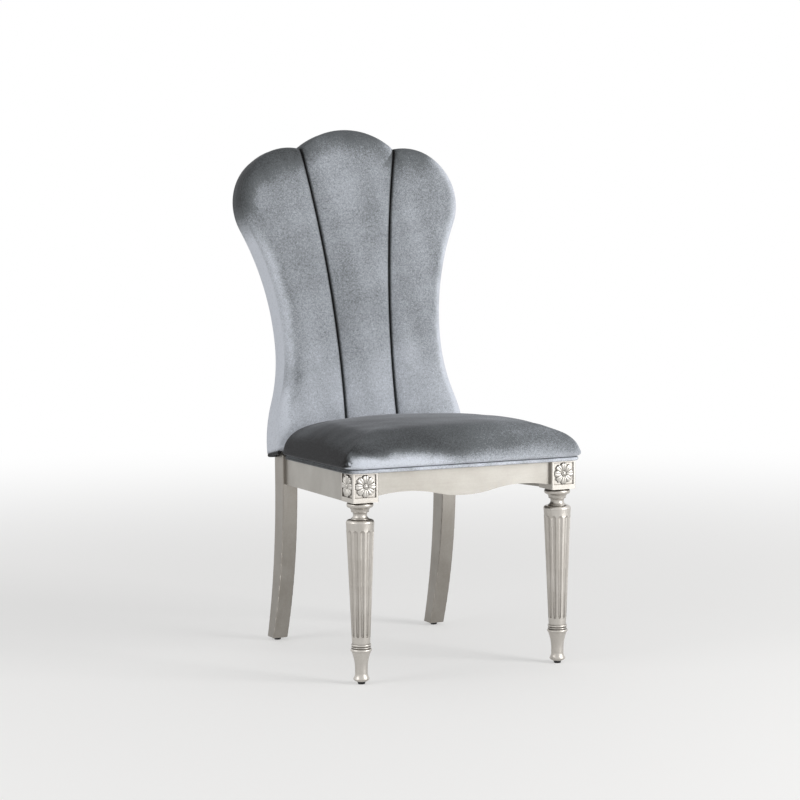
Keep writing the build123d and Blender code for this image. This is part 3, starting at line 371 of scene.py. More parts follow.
def lengths_along(line: Array) -> Array:
    """Distance of each point of a line from its start, along the line."""
    runs = np.linalg.norm(np.diff(line, axis=0), axis=1)
    return np.concatenate([[0.0], np.cumsum(runs)])


def points_along(line: Array, marks: Array) -> Array:
    """Points at given distances along a line, one in each row."""
    whole = lengths_along(line)
    return np.stack([np.interp(marks, whole, column) for column in line.T], axis=1)


def stretched_grid(sides: Sequence[Array], rows: int, columns: int) -> Array:
    """Grid of points stretched between four lines, crowded towards them.

    Args:
        sides: Lower, upper, left and right line, the first two to the right and the others upwards.
        rows: Number of rows.
        columns: Points in each row.

    Returns:
        The points, by row and column.
    """
    s, t = crowded(columns), crowded(rows)
    lower, upper, left, right = (
        points_along(line, shares * lengths_along(line)[-1]) for line, shares in zip(sides, (s, s, t, t))
    )
    s = s[None, :, None]
    t = t[:, None, None]
    between = (1.0 - t) * lower[None] + t * upper[None] + (1.0 - s) * left[:, None] + s * right[:, None]
    foot = (1.0 - s) * lower[0] + s * lower[-1]
    head = (1.0 - s) * upper[0] + s * upper[-1]
    return between - ((1.0 - t) * foot + t * head)


def nearest_on(line: Array, points: Array) -> tuple[Array, Array]:
    """Distance of points from a line, and the way to the line's right at the nearest place.

    Args:
        line: Points of the line in a plane.
        points: Points in the same plane.

    Returns:
        The distances and the directions.
    """
    best = np.full(len(points), np.inf)
    side = np.zeros((len(points), 2))
    for start, end in zip(line, line[1:]):
        run = end - start
        length = float(run @ run)
        if length < SHORTEST_RUN:
            continue
        share = np.clip((points - start) @ run / length, 0.0, 1.0)
        gap = np.linalg.norm(points - start - share[:, None] * run, axis=1)
        nearer = gap < best
        best[nearer] = gap[nearer]
        side[nearer] = np.array([run[1], -run[0]]) / math.sqrt(length)
    return best, side


def round_over(gap: Array, reach: float, power: float = 2.0) -> Array:
    """Share of full height at a distance from a rolled edge, level at its reach."""
    left_over = 1.0 - np.clip(gap / reach, 0.0, 1.0)
    return (1.0 - left_over**power) ** (1.0 / power)


def rounded_path(corners: Sequence[tuple[float, float]], radius: float, step: float) -> Array:
    """Points along straight runs with rounded corners, in a plane.

    Args:
        corners: Ends and corners of the runs.
        radius: Radius of each corner.
        step: Distance between points.

    Returns:
        The points, one in each row.
    """
    points_in_corner = 13
    spots = [np.array(corner, float) for corner in corners]
    points = [spots[0]]
    for before, corner, after in zip(spots, spots[1:], spots[2:]):
        back = (before - corner) / np.linalg.norm(before - corner)
        ahead = (after - corner) / np.linalg.norm(after - corner)
        half = math.acos(float(np.clip(back @ ahead, -1.0, 1.0))) / 2.0
        middle = corner + (back + ahead) / np.linalg.norm(back + ahead) * radius / math.sin(half)
        start = corner + back * radius / math.tan(half)
        end = corner + ahead * radius / math.tan(half)
        for share in np.linspace(0.0, 1.0, points_in_corner):
            spoke = (1.0 - share) * (start - middle) + share * (end - middle)
            points.append(middle + spoke / np.linalg.norm(spoke) * radius)
    line = np.array([*points, spots[-1]])
    whole = lengths_along(line)[-1]
    return points_along(line, np.linspace(0.0, whole, int(whole / step) + 2))


def lathe(name: str, profile: Sequence[tuple[float, float]], turns: int) -> Mesh:
    """Turn a profile round the upright axis.

    Args:
        name: Name of the mesh.
        profile: Radius and height of each point.
        turns: Points round each ring.

    Returns:
        The mesh, closed where the profile starts and ends on the axis.
    """
    angles = [math.tau * turn / turns for turn in range(turns)]
    points = [(r * math.cos(angle), r * math.sin(angle), height) for r, height in profile for angle in angles]
    return mesh_from(name, np.array(points), grid_faces(len(profile), turns, closed=True))


def apply_modifiers(piece: Object) -> None:
    """Make a piece's modifiers part of its mesh."""
    graph = bpy.context.evaluated_depsgraph_get()
    made = bpy.data.meshes.new_from_object(piece.evaluated_get(graph))
    old = piece.data
    piece.modifiers.clear()
    piece.data = made
    bpy.data.meshes.remove(old)


def shape_by(piece: Object, kind: str, **settings: Any) -> None:
    """Change the mesh of a piece by one modifier.

    Args:
        piece: The piece.
        kind: Type of the modifier.
        settings: Values for its settings.
    """
    modifier = piece.modifiers.new(kind.lower(), kind)
    for name, value in settings.items():
        setattr(modifier, name, value)
    apply_modifiers(piece)


def dress(piece: Object, material: Material, nodes: Sequence[str]) -> None:
    """Give a made piece its material and its body, and hide the solids that it stands for.

    Args:
        piece: The piece.
        material: Its material.
        nodes: Solids that it stands for.
    """
    piece.data.materials.clear()
    piece.data.materials.append(material)
    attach(piece, BODY)
    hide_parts(*nodes)
    LOG.info("%s: %d faces", piece.name, len(piece.data.polygons))


# Node trees
class Wiring:
    """Adds and joins the nodes of one tree."""

    def __init__(self, tree: NodeTree) -> None:
        """Start on a tree."""
        self.tree = tree

    def add(self, kind: str, sockets: dict[Any, Any] | None = None, **settings: Any) -> Node:
        """Add a node.

        Args:
            kind: Type of the node.
            sockets: Values for its inputs, or outputs of other nodes to join to them.
            settings: Values for its own settings.

        Returns:
            The node.
        """
        node = self.tree.nodes.new(kind)
        for name, value in settings.items():
            setattr(node, name, value)
        for name, value in (sockets or {}).items():
            if isinstance(value, NodeSocket):
                self.join(value, node.inputs[name])
            else:
                node.inputs[name].default_value = value
        return node

    def join(self, source: NodeSocket, target: NodeSocket) -> None:
        """Join an output to an input."""
        self.tree.links.new(source, target)

    def math(self, operation: str, first: Any, second: Any = 0.0) -> NodeSocket:
        """Work out a sum from two values or outputs."""
        return self.add("ShaderNodeMath", {0: first, 1: second}, operation=operation).outputs[0]

    def spread(
        self, value: NodeSocket, low: float, high: float, first: float = 0.0, last: float = 1.0, **settings: Any
    ) -> NodeSocket:
        """Map the range from low to high onto the range from first to last."""
        ends = {"From Min": low, "From Max": high, "To Min": first, "To Max": last}
        return self.add("ShaderNodeMapRange", {"Value": value, **ends}, **settings).outputs[0]

    def blend(self, share: NodeSocket, first: Any, second: Any) -> NodeSocket:
        """Mix two colours or outputs by the share of the second."""
        first, second = (value if isinstance(value, NodeSocket) else (*value, 1.0) for value in (first, second))
        return self.add("ShaderNodeMix", {0: share, 6: first, 7: second}, data_type="RGBA").outputs[2]

    def place(self, stretch: Point | None = None) -> NodeSocket:
        """Object coordinates, stretched along the way that a pattern runs.

        Args:
            stretch: Scale along each axis, for a pattern that runs one way.

        Returns:
            The coordinates.
        """
        plain = self.add("ShaderNodeTexCoord").outputs["Object"]
        if stretch is None:
            return plain
        return self.add("ShaderNodeMapping", {"Vector": plain, "Scale": stretch}).outputs[0]


def group_socket(tree: NodeTree, name: str, way: str, kind: str, value: Any = None) -> str:
    """Add a named socket to a tree.

    Args:
        tree: The tree.
        name: Name of the socket.
        way: INPUT or OUTPUT.
        kind: Type of the socket.
        value: Value that an input has to start with.

    Returns:
        The socket's identifier.
    """
    socket = tree.interface.new_socket(name=name, in_out=way, socket_type=f"NodeSocket{kind}")
    if value is not None:
        socket.default_value = value
    return socket.identifier


def patchy_group() -> NodeTree:
    """Shader group with coarse patches and a fine speckle on given coordinates.

    Returns:
        The group.
    """
    tree = bpy.data.node_groups.new("patches_and_speckle", "ShaderNodeTree")
    group_socket(tree, "Vector", "INPUT", "Vector")
    for name, value in (("Coarse Scale", 40.0), ("Fine Scale", 400.0), ("Coarse Share", 0.5)):
        group_socket(tree, name, "INPUT", "Float", value)
    for name in ("Mixed", "Coarse", "Fine"):
        group_socket(tree, name, "OUTPUT", "Float")
    wires = Wiring(tree)
    given = wires.add("NodeGroupInput").outputs
    noises = {}
    for name, detail, roughness in (("Coarse", 3.0, 0.55), ("Fine", 2.0, 0.6)):
        looks = {"Scale": given[f"{name} Scale"], "Detail": detail, "Roughness": roughness}
        noises[name] = wires.add("ShaderNodeTexNoise", {"Vector": given["Vector"], **looks}).outputs["Fac"]
    coarse_part = wires.math("MULTIPLY", noises["Coarse"], given["Coarse Share"])
    rest = wires.math("SUBTRACT", 1.0, given["Coarse Share"])
    mixed = wires.math("ADD", coarse_part, wires.math("MULTIPLY", noises["Fine"], rest))
    wires.add("NodeGroupOutput", {"Mixed": mixed, **noises})
    return tree


def three_tone_group() -> NodeTree:
    """Shader group that runs from a dark through a middle to a pale colour.

    Returns:
        The group.
    """
    tree = bpy.data.node_groups.new("three_tones", "ShaderNodeTree")
    group_socket(tree, "Tone", "INPUT", "Float", 0.5)
    for name in ("Dark", "Middle", "Pale"):
        group_socket(tree, name, "INPUT", "Color", (0.5, 0.5, 0.5, 1.0))
    group_socket(tree, "Color", "OUTPUT", "Color")
    wires = Wiring(tree)
    given = wires.add("NodeGroupInput").outputs
    lower = wires.blend(wires.spread(given["Tone"], 0.0, 0.5), given["Dark"], given["Middle"])
    whole = wires.blend(wires.spread(given["Tone"], 0.5, 1.0), lower, given["Pale"])
    wires.add("NodeGroupOutput", {"Color": whole})
    return tree


class SharedEffects:
    """Shader groups that several materials use, each built once."""

    def __init__(self) -> None:
        """Build the groups."""
        self.patches = patchy_group()
        self.tones = three_tone_group()

    def add_patches(self, wires: Wiring, vector: NodeSocket, coarse: float, fine: float, share: float) -> Any:
        """Place patches of two scales in a material and give the group's outputs."""
        sockets = {"Vector": vector, "Coarse Scale": coarse, "Fine Scale": fine, "Coarse Share": share}
        return wires.add("ShaderNodeGroup", sockets, node_tree=self.patches).outputs

    def add_tones(self, wires: Wiring, tone: NodeSocket, **colours: Colour) -> NodeSocket:
        """Place the three tones, Dark, Middle and Pale, in a material."""
        sockets = {name: (*colour, 1.0) for name, colour in colours.items()}
        return wires.add("ShaderNodeGroup", {"Tone": tone, **sockets}, node_tree=self.tones).outputs["Color"]


EFFECTS = SharedEffects()


def start_material(name: str, **sockets: Any) -> tuple[Material, Wiring, Node]:
    """Start a material around a Principled BSDF.

    Args:
        name: Name of the material.
        sockets: Plain values for the shader, with _ for each space.

    Returns:
        The material, its wiring and its shader.
    """
    material = bpy.data.materials.new(name)
    material.use_nodes = True
    shader = next(node for node in material.node_tree.nodes if node.type == "BSDF_PRINCIPLED")
    for socket, value in sockets.items():
        shader.inputs[socket.replace("_", " ")].default_value = value
    return material, Wiring(material.node_tree), shader


def add_bump(wires: Wiring, shader: Node, height: NodeSocket, distance: float, strength: float) -> None:
    """Give a shader a fine relief, so many metres deep and so strong."""
    bump = wires.add("ShaderNodeBump", {"Height": height, "Distance": distance, "Strength": strength})
    wires.join(bump.outputs[0], shader.inputs["Normal"])


@dataclass(frozen=True)
class VelvetFinish:
    """Cut-pile velvet, whose tone follows the painted light and shade and the brushed patches written on each
    piece.
    """

    name: str = "velvet"
    dark: Colour = srgb(36, 35, 35)
    middle: Colour = srgb(110, 114, 117)
    pale: Colour = srgb(212, 217, 226)
    sheen_tint: tuple[float, ...] = (0.88, 0.90, 0.96, 1.0)
    tuft_scale: float = 200.0
    pile_scale: float = 520.0
    tuft_share: float = 0.30
    mottle: float = 0.48
    dark_mottle: float = 0.80
    relief: float = 0.0006

    def build(self) -> Material:
        """Make the material, which reads the painted light and shade written on each piece.

        Returns:
            The material.
        """
        sheen = {"Sheen_Weight": 0.24, "Sheen_Roughness": 0.36, "Sheen_Tint": self.sheen_tint}
        material, wires, shader = start_material(self.name, Roughness=0.9, Specular_IOR_Level=0.15, **sheen)
        # Tone from dark to pale that each piece carries: painted light and shade with brushed patches.
        nap = wires.add("ShaderNodeAttribute", attribute_name="nap").outputs["Fac"]
        pile = EFFECTS.add_patches(wires, wires.place(), self.tuft_scale, self.pile_scale, self.tuft_share)
        swing = wires.math("MULTIPLY", wires.math("SUBTRACT", pile["Mixed"], 0.5), self.mottle * 2.0)
        calm = wires.spread(nap, 0.1, 0.6, self.dark_mottle, 1.0)
        tone = wires.math("ADD", nap, wires.math("MULTIPLY", swing, calm))
        colour = EFFECTS.add_tones(wires, tone, Dark=self.dark, Middle=self.middle, Pale=self.pale)
        wires.join(colour, shader.inputs["Base Color"])
        add_bump(wires, shader, pile["Fine"], self.relief, 0.30)
        return material


@dataclass(frozen=True)
class SilverFinish:
    """Champagne-silver paint on wood, brushed along the grain, with antique glaze and painted shade browning
    its recesses.
    """

    name: str
    grain: Grain
    body: Colour = srgb(155, 151, 144)
    light: Colour = srgb(173, 170, 164)
    glaze_and_shade: Colour = srgb(66, 56, 46)
    recess: float = 0.009
    glaze_and_shade_share: float = 0.75
    sunk_from: float = 0.30
    sunk_to: float = 0.90
    brush_share: float = 0.35
    relief: float = 0.0002

    def build(self) -> Material:
        """Make the material for one way of the grain.

        Returns:
            The material.
        """
        material, wires, shader = start_material(self.name, Metallic=0.85)
        brush = EFFECTS.add_patches(wires, wires.place(self.grain.value), 160.0, 900.0, 0.45)["Mixed"]
        cloud = EFFECTS.add_patches(wires, wires.place(), 14.0, 260.0, 0.75)["Mixed"]
        brushed = wires.math("MULTIPLY", brush, self.brush_share)
        tone = wires.math("ADD", brushed, wires.math("MULTIPLY", cloud, 1.0 - self.brush_share))
        paint_coat = wires.blend(wires.spread(tone, 0.36, 0.64), self.body, self.light)
        # Antique glaze and painted shade: the paint browns where ambient occlusion finds a recess.
        reach = {"Distance": self.recess}
        open_air = wires.add("ShaderNodeAmbientOcclusion", reach, samples=8, only_local=True)
        sunk = wires.spread(open_air.outputs["AO"], self.sunk_from, self.sunk_to, self.glaze_and_shade_share, 0.0)
        # Painted shade that a piece carries in its own attribute, as the carved flowers do.
        cut = wires.add("ShaderNodeAttribute", attribute_name="sunk").outputs["Fac"]
        shade = wires.math("MAXIMUM", sunk, cut)
        wires.join(wires.blend(shade, paint_coat, self.glaze_and_shade), shader.inputs["Base Color"])
        wires.join(wires.spread(brush, 0.3, 0.7, 0.33, 0.41), shader.inputs["Roughness"])
        add_bump(wires, shader, brush, self.relief, 0.15)
        return material


@dataclass(frozen=True)
class WoodFinish:
    """Bare wood, with its grain along the piece."""

    name: str
    grain: Grain
    early: Colour = srgb(205, 176, 136)
    late: Colour = srgb(166, 128, 86)
    relief: float = 0.0003

    def build(self) -> Material:
        """Make the material.

        Returns:
            The material.
        """
        material, wires, shader = start_material(self.name, Roughness=0.62)
        streaks = EFFECTS.add_patches(wires, wires.place(self.grain.value), 70.0, 600.0, 0.7)
        share = wires.spread(streaks["Mixed"], 0.35, 0.68)
        wires.join(wires.blend(share, self.early, self.late), shader.inputs["Base Color"])
        add_bump(wires, shader, streaks["Fine"], self.relief, 0.3)
        return material


@dataclass(frozen=True)
class SpeckledFinish:
    """Plain stuff with a fine speckle: moulded plastic, non-woven cloth or plated steel."""

    name: str
    low: Colour
    high: Colour
    metallic: float
    roughness: tuple[float, float]
    scale: float
    relief: float

    def build(self) -> Material:
        """Make the material.

        Returns:
            The material.
        """
        material, wires, shader = start_material(self.name, Metallic=self.metallic)
        speckle = EFFECTS.add_patches(wires, wires.place(), self.scale / 6.0, self.scale, 0.4)
        share = wires.spread(speckle["Mixed"], 0.35, 0.65)
        wires.join(wires.blend(share, self.low, self.high), shader.inputs["Base Color"])
        wires.join(wires.spread(speckle["Mixed"], 0.35, 0.65, *self.roughness), shader.inputs["Roughness"])
        add_bump(wires, shader, speckle["Fine"], self.relief, 0.4)
        return material


class Materials:
    """All materials of the chair, made once."""

    def __init__(self) -> None:
        """Make the materials."""
        upright = Grain.UPRIGHT
        silvers = [
            SilverFinish("silver_across", Grain.ACROSS),
            SilverFinish("silver_deep", Grain.DEEP),
            # The rear legs get a darker copy of the silver: painted shade.
            SilverFinish("silver_upright", upright, srgb(143, 138, 131), srgb(160, 156, 150)),
        ]
        # The front legs get a paler copy of the silver, painted light, with stronger painted shade in their
        # flutes and coves.
        turned = SilverFinish(
            "silver_turned", upright, srgb(184, 179, 172), srgb(204, 200, 194),
            recess=0.007, glaze_and_shade_share=0.80, sunk_from=0.50, sunk_to=0.93,
        )
        # The flowers get the palest copy of the silver, painted light, with near-black painted shade round the
        # petals.
        carved = SilverFinish(
            "silver_carved", upright, srgb(192, 188, 181), srgb(212, 209, 204), srgb(36, 30, 25),
            recess=0.005, glaze_and_shade_share=0.95, sunk_to=0.85,
        )
        woods = [WoodFinish(f"bare_wood_{grain.name.lower()}", grain) for grain in (Grain.ACROSS, Grain.DEEP)]
        plywood = WoodFinish("plywood", Grain.ACROSS, srgb(214, 190, 152), srgb(184, 150, 108))
        cloth = SpeckledFinish(
            "dust_cloth", srgb(20, 20, 21), srgb(44, 44, 46), 0.0, (0.85, 0.98), 900.0, 0.0005
        )
        plastic = SpeckledFinish(
            "black_plastic", srgb(16, 16, 17), srgb(30, 30, 31), 0.0, (0.38, 0.55), 700.0, 0.0002
        )
        steel = SpeckledFinish(
            "steel", srgb(150, 150, 148), srgb(196, 196, 192), 1.0, (0.28, 0.45), 500.0, 0.0001
        )
        self.velvet = VelvetFinish().build()
        self.silver = {finish.grain: finish.build() for finish in silvers}
        self.bare_wood = {finish.grain: finish.build() for finish in woods}
        self.turned, self.carved, self.plywood, self.cloth, self.plastic, self.steel = (
            finish.build() for finish in (turned, carved, plywood, cloth, plastic, steel)
        )


# Sub-assemblies
@dataclass
class ChairFrame:
    """Wooden frame, glides and fasteners, which keep the shapes of their solids."""

    materials: Materials
    rear_legs: tuple[str, ...] = ("rear_leg_left", "rear_leg_right")
    cross_aprons: tuple[str, ...] = ("front_apron", "rear_apron")
    side_aprons: tuple[str, ...] = ("side_apron_left", "side_apron_right")
    turned: tuple[str, ...] = ("front_leg_left", "front_leg_right")
    corner_blocks: tuple[str, ...] = tuple(f"corner_block_{corner}" for corner in CORNERS)
    rails: tuple[str, ...] = ("crest_rail", "lower_back_rail", "rail_dowels")
    dowels: tuple[str, ...] = ("apron_dowels",)
    plywood: tuple[str, ...] = ("back_panel", "outside_back_board")
    # The seat board takes the dark dust cloth, painted shade so that its edges read as the shaded gap under the
    # cushion.
    dark_for_shade: tuple[str, ...] = ("seat_board",)
    plastic: tuple[str, ...] = tuple(f"glide_{corner}" for corner in CORNERS)
    steel: tuple[str, ...] = ("seat_screws", "corner_block_screws", "panel_screws", "glide_nails")

    def dress(self) -> None:
        """Give each solid that stays in sight its material."""
        stock = self.materials
        self.assign(self.rear_legs, stock.silver[Grain.UPRIGHT])
        self.assign(self.cross_aprons, stock.silver[Grain.ACROSS])
        self.assign(self.side_aprons, stock.silver[Grain.DEEP])
        self.assign(self.corner_blocks + self.rails, stock.bare_wood[Grain.ACROSS])
        self.assign(self.dowels, stock.bare_wood[Grain.DEEP])
        self.assign(self.turned, stock.turned)
        self.assign(self.plywood, stock.plywood)
        # Painted shade on the seat board's edges.
        self.assign(self.dark_for_shade, stock.cloth)
        self.assign(self.plastic, stock.plastic)
        self.assign(self.steel, stock.steel)

    def assign(self, nodes: Sequence[str], material: Material) -> None:
        """Put one material on several solids.

        Args:
            nodes: Names of the solids.
            material: Their material.
        """
        for node in nodes:
            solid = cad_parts[node]
            solid.data.materials.clear()
            solid.data.materials.append(material)
            LOG.info("%s: %s", node, material.name)


class GeometryTree:
    """Geometry Nodes tree with named inputs, run on a piece as part of its mesh."""

    def __init__(self, name: str, inputs: dict[str, str]) -> None:
        """Start the tree.

        Args:
            name: Name of the tree.
            inputs: Type of each input beside the piece's own mesh.
        """
        self.tree = bpy.data.node_groups.new(name, "GeometryNodeTree")
        group_socket(self.tree, "Piece", "INPUT", "Geometry")
        kinds = {**inputs, "Material": "Material"}
        self.sockets = {key: group_socket(self.tree, key, "INPUT", kind) for key, kind in kinds.items()}
        group_socket(self.tree, "Result", "OUTPUT", "Geometry")
        self.wires = Wiring(self.tree)
        self.given = self.wires.add("NodeGroupInput").outputs

    def end(self, geometry: NodeSocket) -> None:
        """Make copies real, give the whole its material and pass it on.

        Args:
            geometry: The geometry that the tree has made.
        """
        real = self.wires.add("GeometryNodeRealizeInstances", {0: geometry}).outputs[0]
        sockets = {"Geometry": real, "Material": self.given["Material"]}
        coated = self.wires.add("GeometryNodeSetMaterial", sockets).outputs[0]
        self.wires.join(coated, self.wires.add("NodeGroupOutput").inputs[0])

    def run(self, piece: Object, **values: Any) -> None:
        """Run the tree on a piece.

        Args:
            piece: The piece.
            values: Value for each input.
        """
        modifier = piece.modifiers.new(self.tree.name, "NODES")
        modifier.node_group = self.tree
        for name, value in values.items():
            modifier[self.sockets[name]] = value
        apply_modifiers(piece)


class PipingTree(GeometryTree):
    """Tree that sweeps a round section along the edges of a mesh."""

    def __init__(self, sides: int = 14) -> None:
        """Build the tree for a section with so many sides."""
        super().__init__("piping", {"Radius": "Float", "Sides": "Int"})
        self.sides = sides
        wires, given = self.wires, self.given
        line = wires.add("GeometryNodeMeshToCurve", {"Mesh": given["Piece"]}).outputs[0]
        circle = {"Resolution": given["Sides"], "Radius": given["Radius"]}
        section = wires.add("GeometryNodeCurvePrimitiveCircle", circle).outputs[0]
        sweep = {"Curve": line, "Profile Curve": section, "Fill Caps": True}
        tube = wires.add("GeometryNodeCurveToMesh", sweep).outputs[0]
        self.end(wires.add("GeometryNodeSetShadeSmooth", {0: tube}).outputs[0])

    def sweep(self, name: str, points: Array, radius: float, material: Material) -> Object:
        """Make a piece of piping.

        Args:
            name: Name of the piece.
            points: Points of its middle line, in the chair's frame.
            radius: Radius of its section.
            material: Its material.

        Returns:
            The piece, as a plain mesh.
        """
        mesh = bpy.data.meshes.new(name)
        edges = [(place, place + 1) for place in range(len(points) - 1)]
        mesh.from_pydata([tuple(point) for point in points], edges, [])
        piece = new_object(name, mesh)
        self.run(piece, Radius=radius, Sides=self.sides, Material=material)
        return piece


@dataclass
class PadMaker:
    """Swells a padded piece under its cover, then rounds it off."""

    pressure: float = 4.0
    mass: float = 0.3
    quality: int = 5
    frames: int = 20
    unevenness: float = 0.0005

    def finish(self, pad: Object, held: Array, out: Array, cap: float, seed: int) -> None:
        """Swell a pad, round it off and leave it the faint unevenness of stuffing.

        Args:
            pad: The pad, a closed mesh a little smaller than it will be.
            held: Which of its points are sewn or tacked fast.
            out: Way that its face looks.
            cap: Most that a point may move, in metres.
            seed: Number that picks the unevenness.
        """
        start = points_of(pad.data)
        swollen = self.swell(pad, held)
        move = swollen - start
        length = np.maximum(np.linalg.norm(move, axis=1), 1e-9)
        set_points(pad.data, start + move * np.minimum(1.0, cap / length)[:, None])
        shape_by(pad, "SMOOTH", factor=0.5, iterations=2)
        shape_by(pad, "SUBSURF", levels=1, render_levels=1)
        points = points_of(pad.data)
        lift = wandering(points, (Noise(1.0, 0.10, seed), Noise(0.5, 0.04, seed + 1)))
        lift *= self.unevenness * np.clip(normals_of(pad.data) @ out, 0.0, 1.0) ** 2
        set_points(pad.data, points + lift[:, None] * out)
        smooth(pad.data)

    def swell(self, pad: Object, held: Array) -> Array:
        """Blow up a pad by cloth simulation.

        Args:
            pad: The pad.
            held: Which of its points are held fast.

        Returns:
            The points after the last frame.
        """
        pins = pad.vertex_groups.new(name="held")
        pins.add(np.flatnonzero(held).tolist(), 1.0, "REPLACE")
        cloth = pad.modifiers.new("velvet", "CLOTH")
        cloth.settings.quality = self.quality
        cloth.settings.mass = self.mass
        cloth.settings.use_pressure = True
        cloth.settings.uniform_pressure_force = self.pressure
        cloth.settings.effector_weights.gravity = 0.0
        cloth.settings.vertex_group_mass = pins.name
        cloth.point_cache.frame_start = 1
        cloth.point_cache.frame_end = self.frames
        scene = bpy.context.scene
        for step in range(1, self.frames + 1):
            scene.frame_set(step)
        graph = bpy.context.evaluated_depsgraph_get()
        swollen = points_of(pad.evaluated_get(graph).data)
        pad.modifiers.clear()
        pad.vertex_groups.clear()
        scene.frame_set(1)
        return swollen


@dataclass(frozen=True)
class SeatPileAndLight:
    """Painted light and shade on the seat's velvet, with random brushed patches: dark on top and on the left,
    pale along the front roll.
    """

    darkest: float = 0.16
    lighter: float = 0.33
    rightwards: Ease = Ease(-0.20, 0.20)
    skew: float = 0.2
    brushed: tuple[Noise, ...] = (Noise(0.06, 0.13, 5), Noise(0.04, 0.05, 6))
    wander: tuple[Noise, ...] = (Noise(0.004, 0.09, 7), Noise(0.002, 0.03, 9))
    front: Ease = Ease(0.06, 0.32)
    front_lift: float = 0.05
    across: Ease = Ease(-0.22, 0.10)
    pale_low: float = 0.022
    pale_high: float = 0.050
    palest: float = 1.04
    paling: float = 0.18
    left: Ease = Ease(0.60, 0.94)
    left_tone: float = -0.02
    right: Ease = Ease(0.25, 0.85)
    right_lift: float = 0.10

    def tones(self, points: Array, local: Array, normal: Array) -> Array:
        """Tone at each point of the cushion.

        Args:
            points: Points in the chair's frame.
            local: The same points on the seat's axes.
            normal: Normals at the points.

        Returns:
            The tones.
        """
        x, y, z = local.T
        # Painted light and shade: a dark top that lightens to the right, a pale front roll, a dark left side
        # and a paler right side, over brushed patches.
        rightwards = self.rightwards.of(x + self.skew * y)
        top = self.darkest + self.lighter * rightwards + wandering(points, self.brushed)
        front = self.front.of(-normal[:, 1])
        across = self.across.of(x)
        level = z + wandering(points, self.wander)
        pale = front * (1.0 - smooth_step(self.pale_low - self.pale_low * across, self.pale_high, level))
        tone = top + self.front_lift * front
        tone = tone + pale * (self.palest - self.paling * across - tone)
        tone = tone + self.left.of(-normal[:, 0]) * (self.left_tone - tone)
        return tone + self.right.of(normal[:, 0]) * self.right_lift * (1.0 - pale)


@dataclass(frozen=True)
class WeltPileAndLight:
    """Painted light and shade on the seat's piping, with brushed patches: pale in front, dark on the left."""

    base: float = 0.52
    front_lift: float = 0.38
    front: Ease = Ease(0.2, 0.7)
    left_drop: float = 0.40
    left: Ease = Ease(0.5, 0.9)
    brushed: Noise = Noise(0.08, 0.03, 8)

    def tones(self, points: Array, normal: Array) -> Array:
        """Tone at each point, from the points and their normals."""
        # Painted light on the front of the piping and painted shade on its left side, over brushed patches.
        tone = self.base + self.front_lift * self.front.of(-normal[:, 1])
        return tone - self.left_drop * self.left.of(-normal[:, 0]) + self.brushed.at(points)


